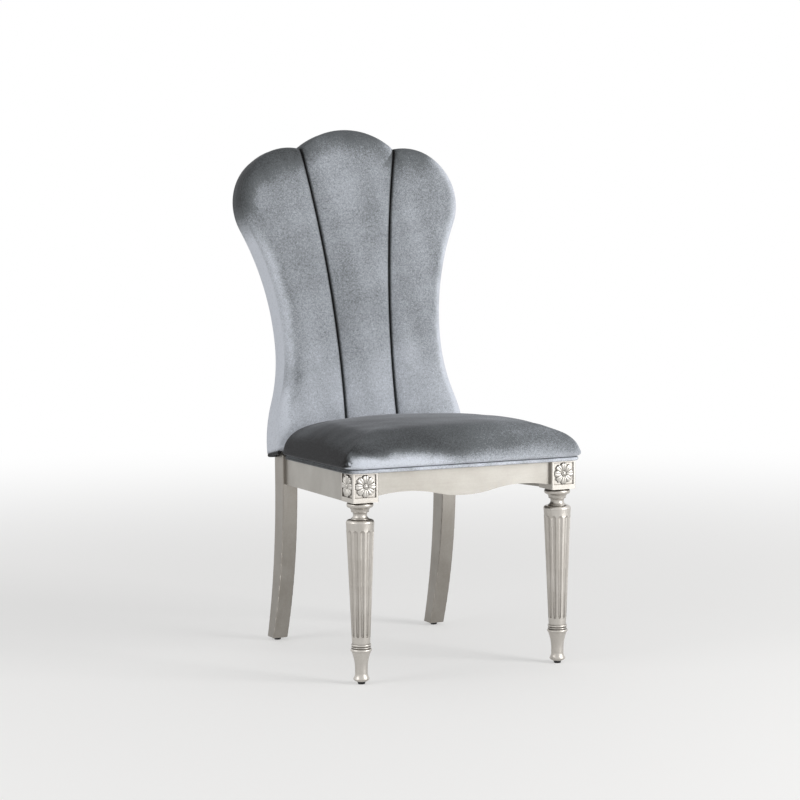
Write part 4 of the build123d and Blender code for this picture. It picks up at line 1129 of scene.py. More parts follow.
@dataclass
class SeatUpholstery:
    """Crowned velvet cushion of the seat, with the piping along its lower edge."""

    materials: Materials
    piping: PipingTree
    reference: Reference
    front_half: float = 0.278
    rear_half: float = 0.238
    front: float = -0.044
    rear: float = 0.4067
    corner: float = 0.034
    bulge: float = 0.0045
    welt_inset: float = 0.0040
    welt_level: float = 0.0044
    welt_radius: float = 0.0040
    cushion_foot: float = 0.0090
    foot_inset: float = 0.0050
    bulge_level: float = 0.0168
    crown: float = 0.0944
    crown_radius: float = 1.877
    crown_middle: float = 0.193
    roll_reach: float = 0.0725
    roll_power: float = 2.18
    swell: float = 0.0030
    held_rise: float = 0.002
    rows: int = 91
    columns: int = 105
    tuck_steps: int = 6
    seed: int = 3

    def build(self) -> None:
        """Make the cushion and its piping."""
        self.make_cushion()
        self.make_welt()

    def outline(self, out: float) -> list[Array]:
        """Sides of the cushion's plan, each from the middle of one rounded corner to that of the next.

        Args:
            out: Distance beyond the seat's own outline.

        Returns:
            The front, rear, left and right side, the first two to the right and the others to the rear.
        """
        corners = [
            (-self.front_half - out, self.front - out),
            (self.front_half + out, self.front - out),
            (self.rear_half + out, self.rear),
            (-self.rear_half - out, self.rear),
        ]
        start = (0.0, self.front - out)
        loop = rounded_path([start, *corners[1:], corners[0], start], self.corner, 0.003)
        marks = [int(np.argmin(np.linalg.norm(loop - np.array(corner), axis=1))) for corner in corners]
        front = np.concatenate([loop[marks[0]:], loop[1:marks[1] + 1]])
        right = loop[marks[1]:marks[2] + 1]
        rear = loop[marks[2]:marks[3] + 1][::-1]
        left = loop[marks[3]:marks[0] + 1][::-1]
        return [front, rear, left, right]

    def make_cushion(self) -> None:
        """Shape the cushion as a full dome over its foam, swell it and paint its light, shade and brushed
        patches.
        """
        sides = self.outline(self.bulge)
        front, rear, left, right = sides
        plan = stretched_grid(sides, self.rows, self.columns)
        rim = np.concatenate([front, right[1:], rear[::-1][1:], left[::-1][1:]])
        flat = plan.reshape(-1, 2)
        gap, _ = nearest_on(rim, flat)
        away = flat[:, 0] ** 2 + (flat[:, 1] - self.crown_middle) ** 2
        full = self.crown - away / (2.0 * self.crown_radius)
        roll = round_over(gap, self.roll_reach, self.roll_power)
        height = self.bulge_level + (full - self.bulge_level) * roll
        mesh = self.close_below(np.column_stack([flat, height]))
        cushion = new_object("seat_cushion", mesh)
        held = self.reference.locate(points_of(mesh))[:, 2] < self.bulge_level + self.held_rise
        PadMaker().finish(cushion, held, self.reference.out, self.swell, self.seed)
        points = points_of(cushion.data)
        # Painted light and shade on the cushion.
        tones = SeatPileAndLight().tones(points, self.reference.locate(points), normals_of(cushion.data))
        paint_pile_and_light(cushion, tones)
        dress(cushion, self.materials.velvet, ("seat_cover", "seat_foam"))

    def close_below(self, dome: Array) -> Mesh:
        """Tuck the dome in under its widest line and close it with a flat foot.

        Args:
            dome: Points of the dome on the seat's axes, row by row.

        Returns:
            The closed mesh in the chair's frame.
        """
        middle = np.array([0.0, (self.front + self.rear) / 2.0, 0.0])
        half = np.array([self.front_half, (self.rear - self.front) / 2.0, 1.0])
        drawn_in = np.array([self.foot_inset + self.bulge, self.foot_inset + self.bulge, 0.0]) / half
        rim = grid_rim(self.rows, self.columns)
        top = grid_faces(self.rows, self.columns)
        faces, points, last, count = list(top), [dome], rim, len(dome)
        for turn in np.linspace(0.0, math.pi / 2.0, self.tuck_steps + 1)[1:-1]:
            ring = middle + (dome[rim] - middle) * (1.0 - drawn_in * (1.0 - math.cos(turn)))
            ring[:, 2] = self.bulge_level - (self.bulge_level - self.cushion_foot) * math.sin(turn)
            points.append(ring)
            after = list(range(count, count + len(rim)))
            faces += ring_walls(last, after)
            last = after
            count += len(rim)
        foot = middle + (dome - middle) * (1.0 - drawn_in)
        foot[:, 2] = self.cushion_foot
        points.append(foot)
        faces += ring_walls(last, [count + place for place in rim]) + turned_over(top, count)
        return mesh_from("seat_cushion", self.reference.place(np.concatenate(points)), faces)

    def make_welt(self) -> None:
        """Make the piping along the sides and the front."""
        inset = self.welt_inset
        slope = (self.front_half - self.rear_half) / (self.rear - self.front)
        front = self.front + inset
        front_x = self.front_half - slope * inset - inset * math.hypot(1.0, slope)
        rear = self.rear - self.corner
        rear_x = front_x - slope * (rear - front)
        corners = [(-rear_x, rear), (-front_x, front), (front_x, front), (rear_x, rear)]
        path = rounded_path(corners, self.corner - inset, 0.004)
        line = self.reference.place(np.column_stack([path, np.full(len(path), self.welt_level)]))
        welt = self.piping.sweep("seat_piping", line, self.welt_radius, self.materials.velvet)
        # Painted light and shade on the piping.
        paint_pile_and_light(welt, WeltPileAndLight().tones(points_of(welt.data), normals_of(welt.data)))
        dress(welt, self.materials.velvet, ("seat_welt",))


@dataclass
class BackOutline:
    """Outline of the back with its three lobes, in the back's own plane."""

    half_width: float = 0.237
    waist_half_width: float = 0.196
    waist_level: float = 0.241
    waist_lower_radius: float = 0.390
    lobe_radius: float = 0.126
    lobe_out: float = 0.144
    lobe_level: float = 0.564
    valley_half_width: float = 0.118
    crown_level: float = 0.732
    seam_foot: float = 0.066
    seam_bow: float = 0.020

    @property
    def valley_level(self) -> float:
        """Level where the lobes meet."""
        inwards = self.lobe_out - self.valley_half_width
        return self.lobe_level + math.sqrt(self.lobe_radius**2 - inwards**2)

    def arc(self, centre: tuple[float, float], radius: float, first: float, last: float, count: int) -> Array:
        """So many points along an arc from its first to its last angle."""
        angles = np.linspace(first, last, count)
        return np.stack([centre[0] + radius * np.cos(angles), centre[1] + radius * np.sin(angles)], axis=1)

    def right_edge(self) -> Array:
        """Points from the hem up the right edge to the valley.

        Returns:
            The points, one in each row.
        """
        flare = self.half_width - self.waist_half_width
        reach = (flare**2 + self.waist_level**2) / (2.0 * flare)
        low = self.waist_lower_radius
        flare_radius = reach - low
        flare_turn = math.asin(self.waist_level / reach)
        out = self.waist_half_width - self.lobe_out
        rise = self.lobe_level - self.waist_level
        upper = (out**2 + rise**2 - self.lobe_radius**2) / (2.0 * (self.lobe_radius - out))
        waist_turn = math.asin(rise / (self.lobe_radius + upper))
        valley_turn = math.atan2(self.valley_level - self.lobe_level, self.valley_half_width - self.lobe_out)
        low_middle = (self.waist_half_width + low, self.waist_level)
        upper_middle = (self.waist_half_width + upper, self.waist_level)
        runs = [
            self.arc((self.half_width - flare_radius, 0.0), flare_radius, 0.0, flare_turn, 16)[:-1],
            self.arc(low_middle, low, math.pi + flare_turn, math.pi, 16)[:-1],
            self.arc(upper_middle, upper, math.pi, math.pi - waist_turn, 28)[:-1],
            self.arc((self.lobe_out, self.lobe_level), self.lobe_radius, -waist_turn, valley_turn, 40),
        ]
        return np.concatenate(runs)

    def crown(self) -> Array:
        """Points over the middle lobe, from the right valley to the left one.

        Returns:
            The points, one in each row.
        """
        half = self.valley_half_width
        rise = self.crown_level - self.valley_level
        radius = (half**2 + rise**2) / (2.0 * rise)
        turn = math.asin(half / radius)
        upright = math.pi / 2.0
        return self.arc((0.0, self.crown_level - radius), radius, upright - turn, upright + turn, 34)

    def edge(self) -> Array:
        """Points all along the edge, from the right end of the hem to its left end."""
        right = self.right_edge()
        return np.concatenate([right[:-1], self.crown()[:-1], right[::-1] * MIRROR])

    def seam(self, level: Array) -> Array:
        """Distance of the seams from the middle.

        Args:
            level: Levels up the back, up to that of the valleys.

        Returns:
            The distance at each level.
        """
        run = self.valley_half_width - self.seam_foot
        chord = math.hypot(run, self.valley_level)
        radius = (chord**2 / 4.0 + self.seam_bow**2) / (2.0 * self.seam_bow)
        inside = radius - self.seam_bow
        centre_out = (self.seam_foot + self.valley_half_width) / 2.0 + inside * self.valley_level / chord
        centre_level = self.valley_level / 2.0 - inside * run / chord
        return centre_out - np.sqrt(radius**2 - (level - centre_level) ** 2)

    def inside_seam(self, local: Array) -> Array:
        """How far points on the back's axes lie inside the seams, negative beyond them."""
        return self.seam(np.clip(local[:, 1], 0.0, self.valley_level)) - np.abs(local[:, 0])


@dataclass(frozen=True)
class BackPileAndLight:
    """Painted light and shade on the back's velvet, with random brushed clouds: dark over the tops, pale along
    the sides and towards the seat.
    """

    base: float = 0.65
    clouds: tuple[Noise, ...] = (Noise(0.035, 0.16, 31), Noise(0.03, 0.06, 32))
    wander: tuple[Noise, ...] = (Noise(1.0, 0.07, 33), Noise(0.5, 0.02, 34))
    top_facing: Ease = Ease(0.10, 0.85)
    top_leftwards: float = 0.75
    top_level: Ease = Ease(0.46, 0.58)
    top_drop: float = 0.42
    top_wander: float = 0.004
    middle_lobe: Ease = Ease(-0.010, 0.010)
    middle_less: float = 0.14
    middle_shorter: float = 0.20
    right_lobe: Ease = Ease(0.0, 0.05)
    right_less: float = 0.12
    side_reach: float = 0.034
    upward_reach: float = 0.060
    sideways: Ease = Ease(0.4, 0.8)
    flank: Ease = Ease(0.004, 0.028)
    flank_wander: float = 0.003
    flank_end: Ease = Ease(0.44, 0.55)
    left_lift: float = 0.26
    right_lift: float = 0.30
    foot: Ease = Ease(0.07, 0.34)
    foot_wander: float = 0.01
    foot_lift: float = 0.18
    waist_level: float = 0.170
    waist_height: float = 0.052
    waist: Ease = Ease(0.004, 0.062)
    waist_wander: float = 0.005
    waist_drop: float = 0.29
    face: Ease = Ease(0.0, 0.004)
    seam_drop: float = 0.70
    seam_width: float = 0.0034

    def tones(self, points: Array, local: Array, outline: BackOutline) -> Array:
        """Tone at each point of a piece of the back.

        Args:
            points: Points in the chair's frame.
            local: The same points on the back's axes.
            outline: Outline of the back.

        Returns:
            The tones.
        """
        x, level, height = local.T
        gap, facing = nearest_on(outline.edge(), local[:, :2])
        rightwards, upwards = facing.T
        wander = wandering(points, self.wander)
        tone = self.base + wandering(points, self.clouds)
        # Painted shade over the tops of the lobes, reaching down from the edge.
        shaded = self.top_facing.of(upwards - self.top_leftwards * rightwards) * self.top_level.of(level)
        inner = outline.inside_seam(local)
        middle = self.middle_lobe.of(inner)
        drop = self.top_drop - self.middle_less * middle
        drop -= self.right_less * (1.0 - middle) * self.right_lobe.of(x)
        reach = self.side_reach + self.upward_reach * np.clip(upwards, 0.0, 1.0)
        reach *= 1.0 - self.middle_shorter * middle
        tone -= drop * shaded * (1.0 - smooth_step(0.0, reach, gap + self.top_wander * wander))
        # Painted light along the sides, on the lower left and all down the right.
        left, right = self.sideways.of(-rightwards), self.sideways.of(rightwards)
        flank = 1.0 - self.flank.of(gap + self.flank_wander * wander)
        tone += self.left_lift * (1.0 - self.flank_end.of(level)) * flank * left
        tone += self.right_lift * flank * right
        # Painted light towards the seat.
        tone += self.foot_lift * (1.0 - self.foot.of(level + self.foot_wander * wander))
        # Painted shade at the left waist.
        waist = np.exp(-(((level - self.waist_level) / self.waist_height) ** 2)) * left
        tone -= self.waist_drop * waist * (1.0 - self.waist.of(gap + self.waist_wander * wander))
        # Painted shade along the seams.
        seam = self.face.of(height) * np.exp(-((inner / self.seam_width) ** 2)) * (level < outline.valley_level)
        return tone - self.seam_drop * seam


class Lobe(Enum):
    """The three lobes of the back."""

    LEFT = -1
    CENTER = 0
    RIGHT = 1


@dataclass
class BackUpholstery:
    """Three padded lobes, the strip round their edge, the outside back and the hem's piping."""

    materials: Materials
    piping: PipingTree
    reference: Reference
    outline: BackOutline = field(default_factory=BackOutline)
    swell: float = 0.0030
    seam_gap: float = 0.0002
    crown: float = 0.0215
    edge_height: float = 0.0165
    edge_roll: float = 0.022
    seam_roll: float = 0.013
    seam_share: float = 0.20
    hem_roll: float = 0.009
    hem_share: float = 0.30
    pad_rows: int = 141
    pad_columns: int = 47
    pad_corner: float = math.radians(48.0)
    held_back: float = 0.0004
    held_edge: float = 0.004
    held_seam: float = 0.003
    held_hem: float = 0.004
    seeds: tuple[int, int, int] = (7, 11, 15)
    rear: float = -0.053
    band_front: float = 0.0004
    band_columns: int = 15
    band_thickness: float = 0.0018
    band_swell: float = 0.0016
    band_lift: float = 0.22
    band_top_drop: float = 0.30
    band_top: Ease = Ease(0.44, 0.56)
    cover_thickness: float = 0.0014
    cover_middle: tuple[float, float] = (0.0, 0.350)
    cover_rings: tuple[float, ...] = (1.0, 0.994, 0.982, 0.965, 0.94, 0.9, 0.82, 0.7, 0.55, 0.4, 0.25, 0.12)
    cover_roll: tuple[float, ...] = (0.0030, 0.0012, 0.0004)
    hem_points: int = 40
    hem_radius: float = 0.0042
    hem_level: float = -0.0042
    hem_front: float = 0.018
    hem_corner: float = 0.014
    hem_shade_tone: float = 0.04
    hem_brushed: Noise = Noise(0.05, 0.02, 41)

    def build(self) -> None:
        """Make all pieces of the back's upholstery."""
        for lobe, seed in zip(Lobe, self.seeds):
            self.make_pad(lobe, seed)
        self.make_band()
        self.make_outside()
        self.make_hem()

    def lobe_sides(self, lobe: Lobe) -> tuple[Array, Array, Array, Array]:
        """Lines round one lobe, drawn as if it stood on the right or in the middle.

        Args:
            lobe: Which lobe.

        Returns:
            The lower, upper, left and right line, the first two to the right and the others upwards.
        """
        level = np.linspace(0.0, self.outline.valley_level, 120)
        seam = self.outline.seam(level)
        if lobe is Lobe.CENTER:
            right = np.stack([seam - self.seam_gap, level], axis=1)
            left = right * MIRROR
            return np.array([left[0], right[0]]), self.outline.crown()[::-1], left, right
        left = np.stack([seam + self.seam_gap, level], axis=1)
        edge = self.outline.right_edge()
        spoke = edge - np.array([self.outline.lobe_out, self.outline.lobe_level])
        turn = np.arctan2(spoke[:, 1], spoke[:, 0])
        split = int(np.argmin(np.abs(turn - self.pad_corner) + (spoke[:, 0] < 0.0)))
        return np.array([left[0], edge[0]]), edge[split:][::-1], left, edge[: split + 1]

    def make_pad(self, lobe: Lobe, seed: int) -> None:
        """Shape one lobe between its seams and its rolled edge, swell it and paint its light, shade and brushed
        patches.

        Args:
            lobe: Which lobe.
            seed: Number that picks its unevenness.
        """
        sides = self.lobe_sides(lobe)
        _, upper, left, right = sides
        plan = stretched_grid(sides, self.pad_rows, self.pad_columns)
        flat = plan.reshape(-1, 2)
        across = 2.0 * np.tile(crowded(self.pad_columns), self.pad_rows) - 1.0
        height = self.edge_height + (self.crown - self.edge_height) * (1.0 - across**2)
        seams, edges = ([left, right], [upper]) if lobe is Lobe.CENTER else ([left], [upper, right])
        to_seam, to_edge = (
            np.min([nearest_on(line, flat)[0] for line in lines], axis=0) for lines in (seams, edges)
        )
        height *= round_over(to_edge, self.edge_roll)
        height *= self.seam_share + (1.0 - self.seam_share) * round_over(to_seam, self.seam_roll)
        height *= self.hem_share + (1.0 - self.hem_share) * round_over(flat[:, 1], self.hem_roll)
        mirrored = np.array([-1.0 if lobe is Lobe.LEFT else 1.0, 1.0, 1.0])
        outer, inner = (
            self.reference.place(np.column_stack([flat, rise]) * mirrored).reshape(*plan.shape[:2], 3)
            for rise in (height, np.zeros(len(flat)))
        )
        side = lobe.name.lower()
        mesh = closed_grid(f"back_pad_{side}", outer, inner)
        pad = new_object(f"back_pad_{side}", mesh)
        PadMaker().finish(pad, self.held_points(mesh), self.reference.out, self.swell, seed)
        # Painted light and shade on the pad.
        paint_pile_and_light(pad, self.nap(pad.data))
        dress(pad, self.materials.velvet, (f"back_cover_{side}", f"back_foam_{side}"))

    def held_points(self, mesh: Mesh) -> Array:
        """Which points of a pad are held: its back and what lies near the edge, a seam or the hem.

        Args:
            mesh: Mesh of the pad.

        Returns:
            True for each point that is held.
        """
        local = self.reference.locate(points_of(mesh))
        near_edge = nearest_on(self.outline.edge(), local[:, :2])[0] < self.held_edge
        near_seam = np.abs(self.outline.inside_seam(local)) < self.held_seam
        return (local[:, 2] < self.held_back) | near_edge | near_seam | (local[:, 1] < self.held_hem)

    def nap(self, mesh: Mesh) -> Array:
        """Painted light and shade, with brushed clouds, at each point of a piece of the back."""
        points = points_of(mesh)
        return BackPileAndLight().tones(points, self.reference.locate(points), self.outline)

    def edge_normals(self, edge: Array) -> Array:
        """Outward normals along the edge, mitred where the lobes meet.

        Args:
            edge: Points along the edge.

        Returns:
            A normal for each point.
        """
        runs = np.diff(edge, axis=0)
        runs /= np.linalg.norm(runs, axis=1)[:, None]
        sides = np.stack([runs[:, 1], -runs[:, 0]], axis=1)
        first = np.concatenate([sides[:1], sides])
        second = np.concatenate([sides, sides[-1:]])
        middle = first + second
        middle /= np.linalg.norm(middle, axis=1)[:, None]
        return middle / np.maximum(np.sum(middle * first, axis=1), 0.5)[:, None]

    def make_band(self) -> None:
        """Make the strip of velvet round the edge, from the lobes to the outside back."""
        edge = self.outline.edge()
        outward = self.edge_normals(edge)
        shares = np.linspace(0.0, 1.0, self.band_columns)
        depth = self.band_front + shares * (self.rear - self.band_front)
        bulge = self.band_swell * np.sin(np.pi * shares) ** 2
        outer = edge[:, None, :] + outward[:, None, :] * bulge[None, :, None]
        inner = np.repeat((edge - outward * self.band_thickness)[:, None, :], self.band_columns, axis=1)
        deep = np.tile(depth, (len(edge), 1))[:, :, None]
        sides = [self.reference.place(np.concatenate([side, deep], axis=2)) for side in (outer, inner)]
        mesh = closed_grid("back_edge_band", *sides)
        band = new_object("back_edge_band", mesh)
        smooth(mesh)
        level = self.reference.locate(points_of(mesh))[:, 1]
        # The band is painted paler than the lobes as painted light, with painted shade over its upper part.
        paint_pile_and_light(band, self.nap(mesh) + self.band_lift - self.band_top_drop * self.band_top.of(level))
        dress(band, self.materials.velvet, ("back_side_band",))

    def make_outside(self) -> None:
        """Make the outside back, a flat cover that rolls over a little at its edge."""
        edge = self.outline.edge()
        hem_x = np.linspace(edge[-1, 0], edge[0, 0], self.hem_points)[1:-1]
        loop = np.concatenate([edge, np.stack([hem_x, np.zeros(len(hem_x))], axis=1)])
        middle = np.array(self.cover_middle)
        rolled = [*self.cover_roll, *[0.0] * (len(self.cover_rings) - len(self.cover_roll))]
        rings = [
            np.column_stack([middle + (loop - middle) * share, np.full(len(loop), self.rear + drop)])
            for share, drop in zip(self.cover_rings, rolled)
        ]
        outer = np.concatenate([*rings, [[*middle, self.rear]]])
        inner = outer + np.array([0.0, 0.0, self.cover_thickness])
        columns, count = len(loop), len(outer)
        last = (len(rings) - 1) * columns
        faces = grid_faces(len(rings), columns, closed=True)
        faces += [(last + place, last + (place + 1) % columns, count - 1) for place in range(columns)]
        walls = ring_walls(range(columns), range(count, count + columns))
        points = self.reference.place(np.concatenate([outer, inner]))
        mesh = mesh_from("outside_back", points, [*faces, *turned_over(faces, count), *walls])
        cover = new_object("outside_back", mesh)
        smooth(mesh)
        # Painted light and shade from the back's tones.
        paint_pile_and_light(cover, self.nap(mesh))
        dress(cover, self.materials.velvet, ("outside_back_cover",))

    def make_hem(self) -> None:
        """Make the piping under the band and the outside back."""
        half, front, rear = self.outline.half_width, self.hem_front, self.rear
        corners = [(-half, front), (-half, rear), (half, rear), (half, front)]
        path = rounded_path(corners, self.hem_corner, 0.004)
        line = self.reference.place(np.insert(path, 1, self.hem_level, axis=1))
        hem = self.piping.sweep("hem_piping", line, self.hem_radius, self.materials.velvet)
        # The hem's piping is painted near-black as painted shade, with brushed patches.
        paint_pile_and_light(hem, self.hem_shade_tone + self.hem_brushed.at(points_of(hem.data)))
        dress(hem, self.materials.velvet, ("back_hem_welt",))


class RosetteTree(GeometryTree):
    """Tree that sets petals, and leaves between them, round a boss."""

    def __init__(self, petals: int = 8) -> None:
        """Build the tree for so many petals."""
        super().__init__("rosette", {"Petal": "Object", "Leaf": "Object", "Petals": "Int"})
        self.petals = petals
        wires, given = self.wires, self.given
        line = {"Count": given["Petals"], "Offset": (0.0, 0.0, 0.0)}
        spots = wires.add("GeometryNodeMeshLine", line).outputs[0]
        index = wires.add("GeometryNodeInputIndex").outputs[0]
        turn = wires.math("DIVIDE", math.tau, given["Petals"])
        whole = wires.add("GeometryNodeJoinGeometry")
        wires.join(given["Piece"], whole.inputs[0])
        for name, shift in (("Petal", 0.0), ("Leaf", 0.5)):
            source = wires.add("GeometryNodeObjectInfo", {"Object": given[name]}).outputs["Geometry"]
            angle = wires.math("MULTIPLY", wires.math("ADD", index, shift), turn)
            spin = wires.add("ShaderNodeCombineXYZ", {"Z": angle}).outputs[0]
            sockets = {"Points": spots, "Instance": source, "Rotation": spin}
            wires.join(wires.add("GeometryNodeInstanceOnPoints", sockets).outputs[0], whole.inputs[0])
        self.end(whole.outputs[0])

    def grow(self, boss: Mesh, petal: Object, leaf: Object, material: Material) -> Mesh:
        """Make one flower.

        Args:
            boss: Boss and disc in the middle.
            petal: One petal along the first axis.
            leaf: One leaf between petals.
            material: Their material.

        Returns:
            The flower's mesh, lying flat.
        """
        flower = new_object("rosette_pattern", boss)
        self.run(flower, Petal=petal, Leaf=leaf, Petals=self.petals, Material=material)
        mesh = flower.data
        bpy.data.objects.remove(flower)
        return mesh


@dataclass
class BlockRosettes:
    """Carved flowers on the two outer faces of each front leg's block."""

    materials: Materials
    reach: float = 0.0247
    root: float = 0.0044
    half_width: float = 0.0078
    rise: float = 0.0050
    vein: float = 0.0016
    vein_width: float = 0.16
    notch: float = 0.13
    notch_width: float = 0.3
    tip_round: float = 0.16
    root_share: float = 0.26
    lowest: float = 0.0008
    underside: float = -0.0005
    petal_points: int = 15
    leaf_start: float = 0.0115
    leaf_end: float = 0.0205
    leaf_size: float = 0.0024
    boss: tuple[tuple[float, float], ...] = (
        (0.0, 0.0058), (0.0016, 0.0056), (0.0029, 0.0049), (0.0036, 0.0039), (0.0038, 0.0030),
        (0.0042, 0.0032), (0.0050, 0.0029), (0.0053, 0.0021), (0.0052, 0.0010),
    )
    disc_radius: float = 0.0205
    disc_height: float = 0.0010
    low_shade: float = 0.9
    raised: Ease = Ease(0.0009, 0.0026)
    field_depth: float = 0.0025
    leg_spacing: float = 0.466
    half_block: float = 0.029
    block_middle: float = 0.414

    def build(self) -> None:
        """Make the four flowers and set each in its field."""
        petal = new_object("rosette_petal", self.petal_mesh())
        leaf = new_object("rosette_leaf", self.leaf_mesh())
        material = self.materials.carved
        pattern = RosetteTree().grow(self.boss_mesh(), petal, leaf, material)
        smooth(pattern)
        # Painted shade: the disc and the low edges of the petals darken, as shade between the petals.
        paint(pattern, "sunk", self.low_shade * (1.0 - self.raised.of(points_of(pattern)[:, 2])))
        for name, place in self.places().items():
            mesh = pattern.copy()
            mesh.transform(place.matrix())
            flower = new_object(f"carved_{name}", mesh)
            dress(flower, material, (name,))
        for helper in (petal, leaf):
            bpy.data.objects.remove(helper)

    def places(self) -> dict[str, Reference]:
        """Floor of each sunk field, by the name of its solid.

        Returns:
            The four places.
        """
        y, up = leg_axes_y(), np.array([0.0, 0.0, 1.0])
        sunk = self.half_block - self.field_depth
        found = {}
        for side, word in ((-1.0, "left"), (1.0, "right")):
            x = side * self.leg_spacing / 2.0
            front = np.array([x, y - sunk, self.block_middle])
            found[f"rosette_{word}_front"] = Reference(
                front, np.array([1.0, 0.0, 0.0]), up, np.array([0.0, -1.0, 0.0])
            )
            outside = np.array([x + side * sunk, y, self.block_middle])
            found[f"rosette_{word}_side"] = Reference(
                outside, np.array([0.0, side, 0.0]), up, np.array([side, 0.0, 0.0])
            )
        return found

    def petal_mesh(self) -> Mesh:
        """One petal with two lobes and a vein, its top closed by a flat underside.

        Returns:
            The petal along the first axis.
        """
        count = self.petal_points
        upper = np.zeros((count, count, 3))
        for row in range(count):
            share = row / (count - 1)
            wide = self.root_share + (1.0 - self.root_share) * math.sin(0.5 * math.pi * min(1.0, share * 1.25))
            wide *= self.half_width * (1.0 - 0.30 * max(0.0, share - 0.8) / 0.2)
            arch = math.sin(math.pi * (0.10 + 0.80 * share)) ** 0.55
            vein = self.vein * math.sin(math.pi * min(1.0, share * 1.1)) ** 0.5 if share * 1.1 < 1.0 else 0.0
            for column in range(count):
                side = 2.0 * column / (count - 1) - 1.0
                cut = self.notch * math.exp(-((side / self.notch_width) ** 2)) * share**3
                length = share * (1.0 - cut - self.tip_round * side**2 * share)
                groove = vein * math.exp(-((side / self.vein_width) ** 2))
                hump = self.rise * math.sqrt(max(0.0, 1.0 - side**4)) * arch
                edge = row in (0, count - 1) or column in (0, count - 1)
                height = 0.0 if edge else max(self.lowest, hump - groove)
                upper[row, column] = (self.root + (self.reach - self.root) * length, side * wide, height)
        lower = upper.copy()
        lower[..., 2] = self.underside
        return closed_grid("rosette_petal", upper, lower)

    def leaf_mesh(self) -> Mesh:
        """Small pointed leaf that shows between two petals.

        Returns:
            The leaf along the first axis.
        """
        start, end, size = self.leaf_start, self.leaf_end, self.leaf_size
        middle = (start + end) / 2.0
        ridge = [(start, 0.0, size), (middle, 0.0, size), (end, 0.0, 0.0004)]
        near = [(start, -size, 0.0), (middle, -size, 0.0), (end, -0.0002, 0.0)]
        far = [(x, -y, z) for x, y, z in near[::-1]]
        tops = [(0, 3, 4, 1), (1, 4, 5, 2), (1, 2, 6, 7), (0, 1, 7, 8)]
        ends = [(0, 8, 3), (2, 5, 6), (3, 8, 7, 6, 5, 4)]
        return mesh_from("rosette_leaf", np.array(ridge + near + far), tops + ends)

    def boss_mesh(self) -> Mesh:
        """Disc under the petals, with a ringed ball in its middle."""
        disc = [(self.disc_radius, self.disc_height), (self.disc_radius, 0.0), (0.0, 0.0)]
        return lathe("rosette_boss", [*self.boss, *disc], 32)


@dataclass
class Underside:
    """Cloths that close the seat and the back from below."""

    materials: Materials
    seat: Reference
    back: Reference
    seat_sag: float = 0.004
    back_sag: float = 0.0008
    sag_reach: float = 0.12
    thickness: float = 0.0007
    longest_edge: float = 0.012
    splits: int = 5
    facing: float = -0.9

    def build(self) -> None:
        """Make the dust cover and the cloth under the back."""
        self.make_cloth("seat_dust_cover", "dust_cover", self.seat, 2, self.seat_sag)
        self.make_cloth("back_bottom_cloth", "back_underside_cloth", self.back, 1, self.back_sag)

    def make_cloth(
        self, node: str, name: str, place: Reference, axis: int, sag: float
    ) -> None:
        """Make a thin cloth with the plan of a solid, hanging a little between its edges.

        Args:
            node: Solid that gives the plan.
            name: Name of the piece.
            place: Reference whose axis points through the cloth.
            axis: That axis.
            sag: Most that the cloth hangs, in metres.
        """
        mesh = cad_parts[node].data.copy()
        mesh.name = name
        weld(mesh, SAME_CORNER, False)
        cloth = new_object(name, mesh)
        through = Vector(place.axes()[axis])
        work = bmesh.new()
        work.from_mesh(mesh)
        spare = [face for face in work.faces if face.normal.dot(through) > self.facing]
        bmesh.ops.delete(work, geom=spare, context="FACES")
        bmesh.ops.dissolve_limit(work, angle_limit=0.02, verts=work.verts, edges=work.edges)
        bmesh.ops.triangulate(work, faces=work.faces)
        for _ in range(self.splits):
            long_edges = [edge for edge in work.edges if edge.calc_length() > self.longest_edge]
            if not long_edges:
                break
            bmesh.ops.subdivide_edges(work, edges=long_edges, cuts=1)
            bmesh.ops.triangulate(work, faces=work.faces)
        rim = np.array([vert.co for vert in work.verts if vert.is_boundary])
        for vert in work.verts:
            gap = float(np.min(np.linalg.norm(rim - np.array(vert.co), axis=1)))
            vert.co -= through * sag * min(1.0, gap / self.sag_reach)
        work.to_mesh(mesh)
        area = sum(face.calc_area() for face in work.faces)
        work.free()
        spans = sorted(np.delete(np.ptp(place.locate(points_of(mesh)), axis=0), axis))
        shape_by(cloth, "SOLIDIFY", thickness=self.thickness, offset=-1.0)
        smooth(cloth.data)
        dress(cloth, self.materials.cloth, (node,))


@dataclass(frozen=True)
class Lamp:
    """Soft square lamp: where it hangs, the length of its side and its power in watts."""

    name: str
    place: Point
    size: float
    watts: float

    def hang(self, target: Point) -> None:
        """Hang the lamp, turned towards a target.

        Args:
            target: Point that it looks at.
        """
        light = bpy.data.lights.new(self.name, "AREA")
        light.size = self.size
        light.energy = self.watts
        lamp = new_object(self.name, light)
        lamp.location = self.place
        lamp.rotation_euler = (Vector(target) - Vector(self.place)).to_track_quat("-Z", "Y").to_euler()


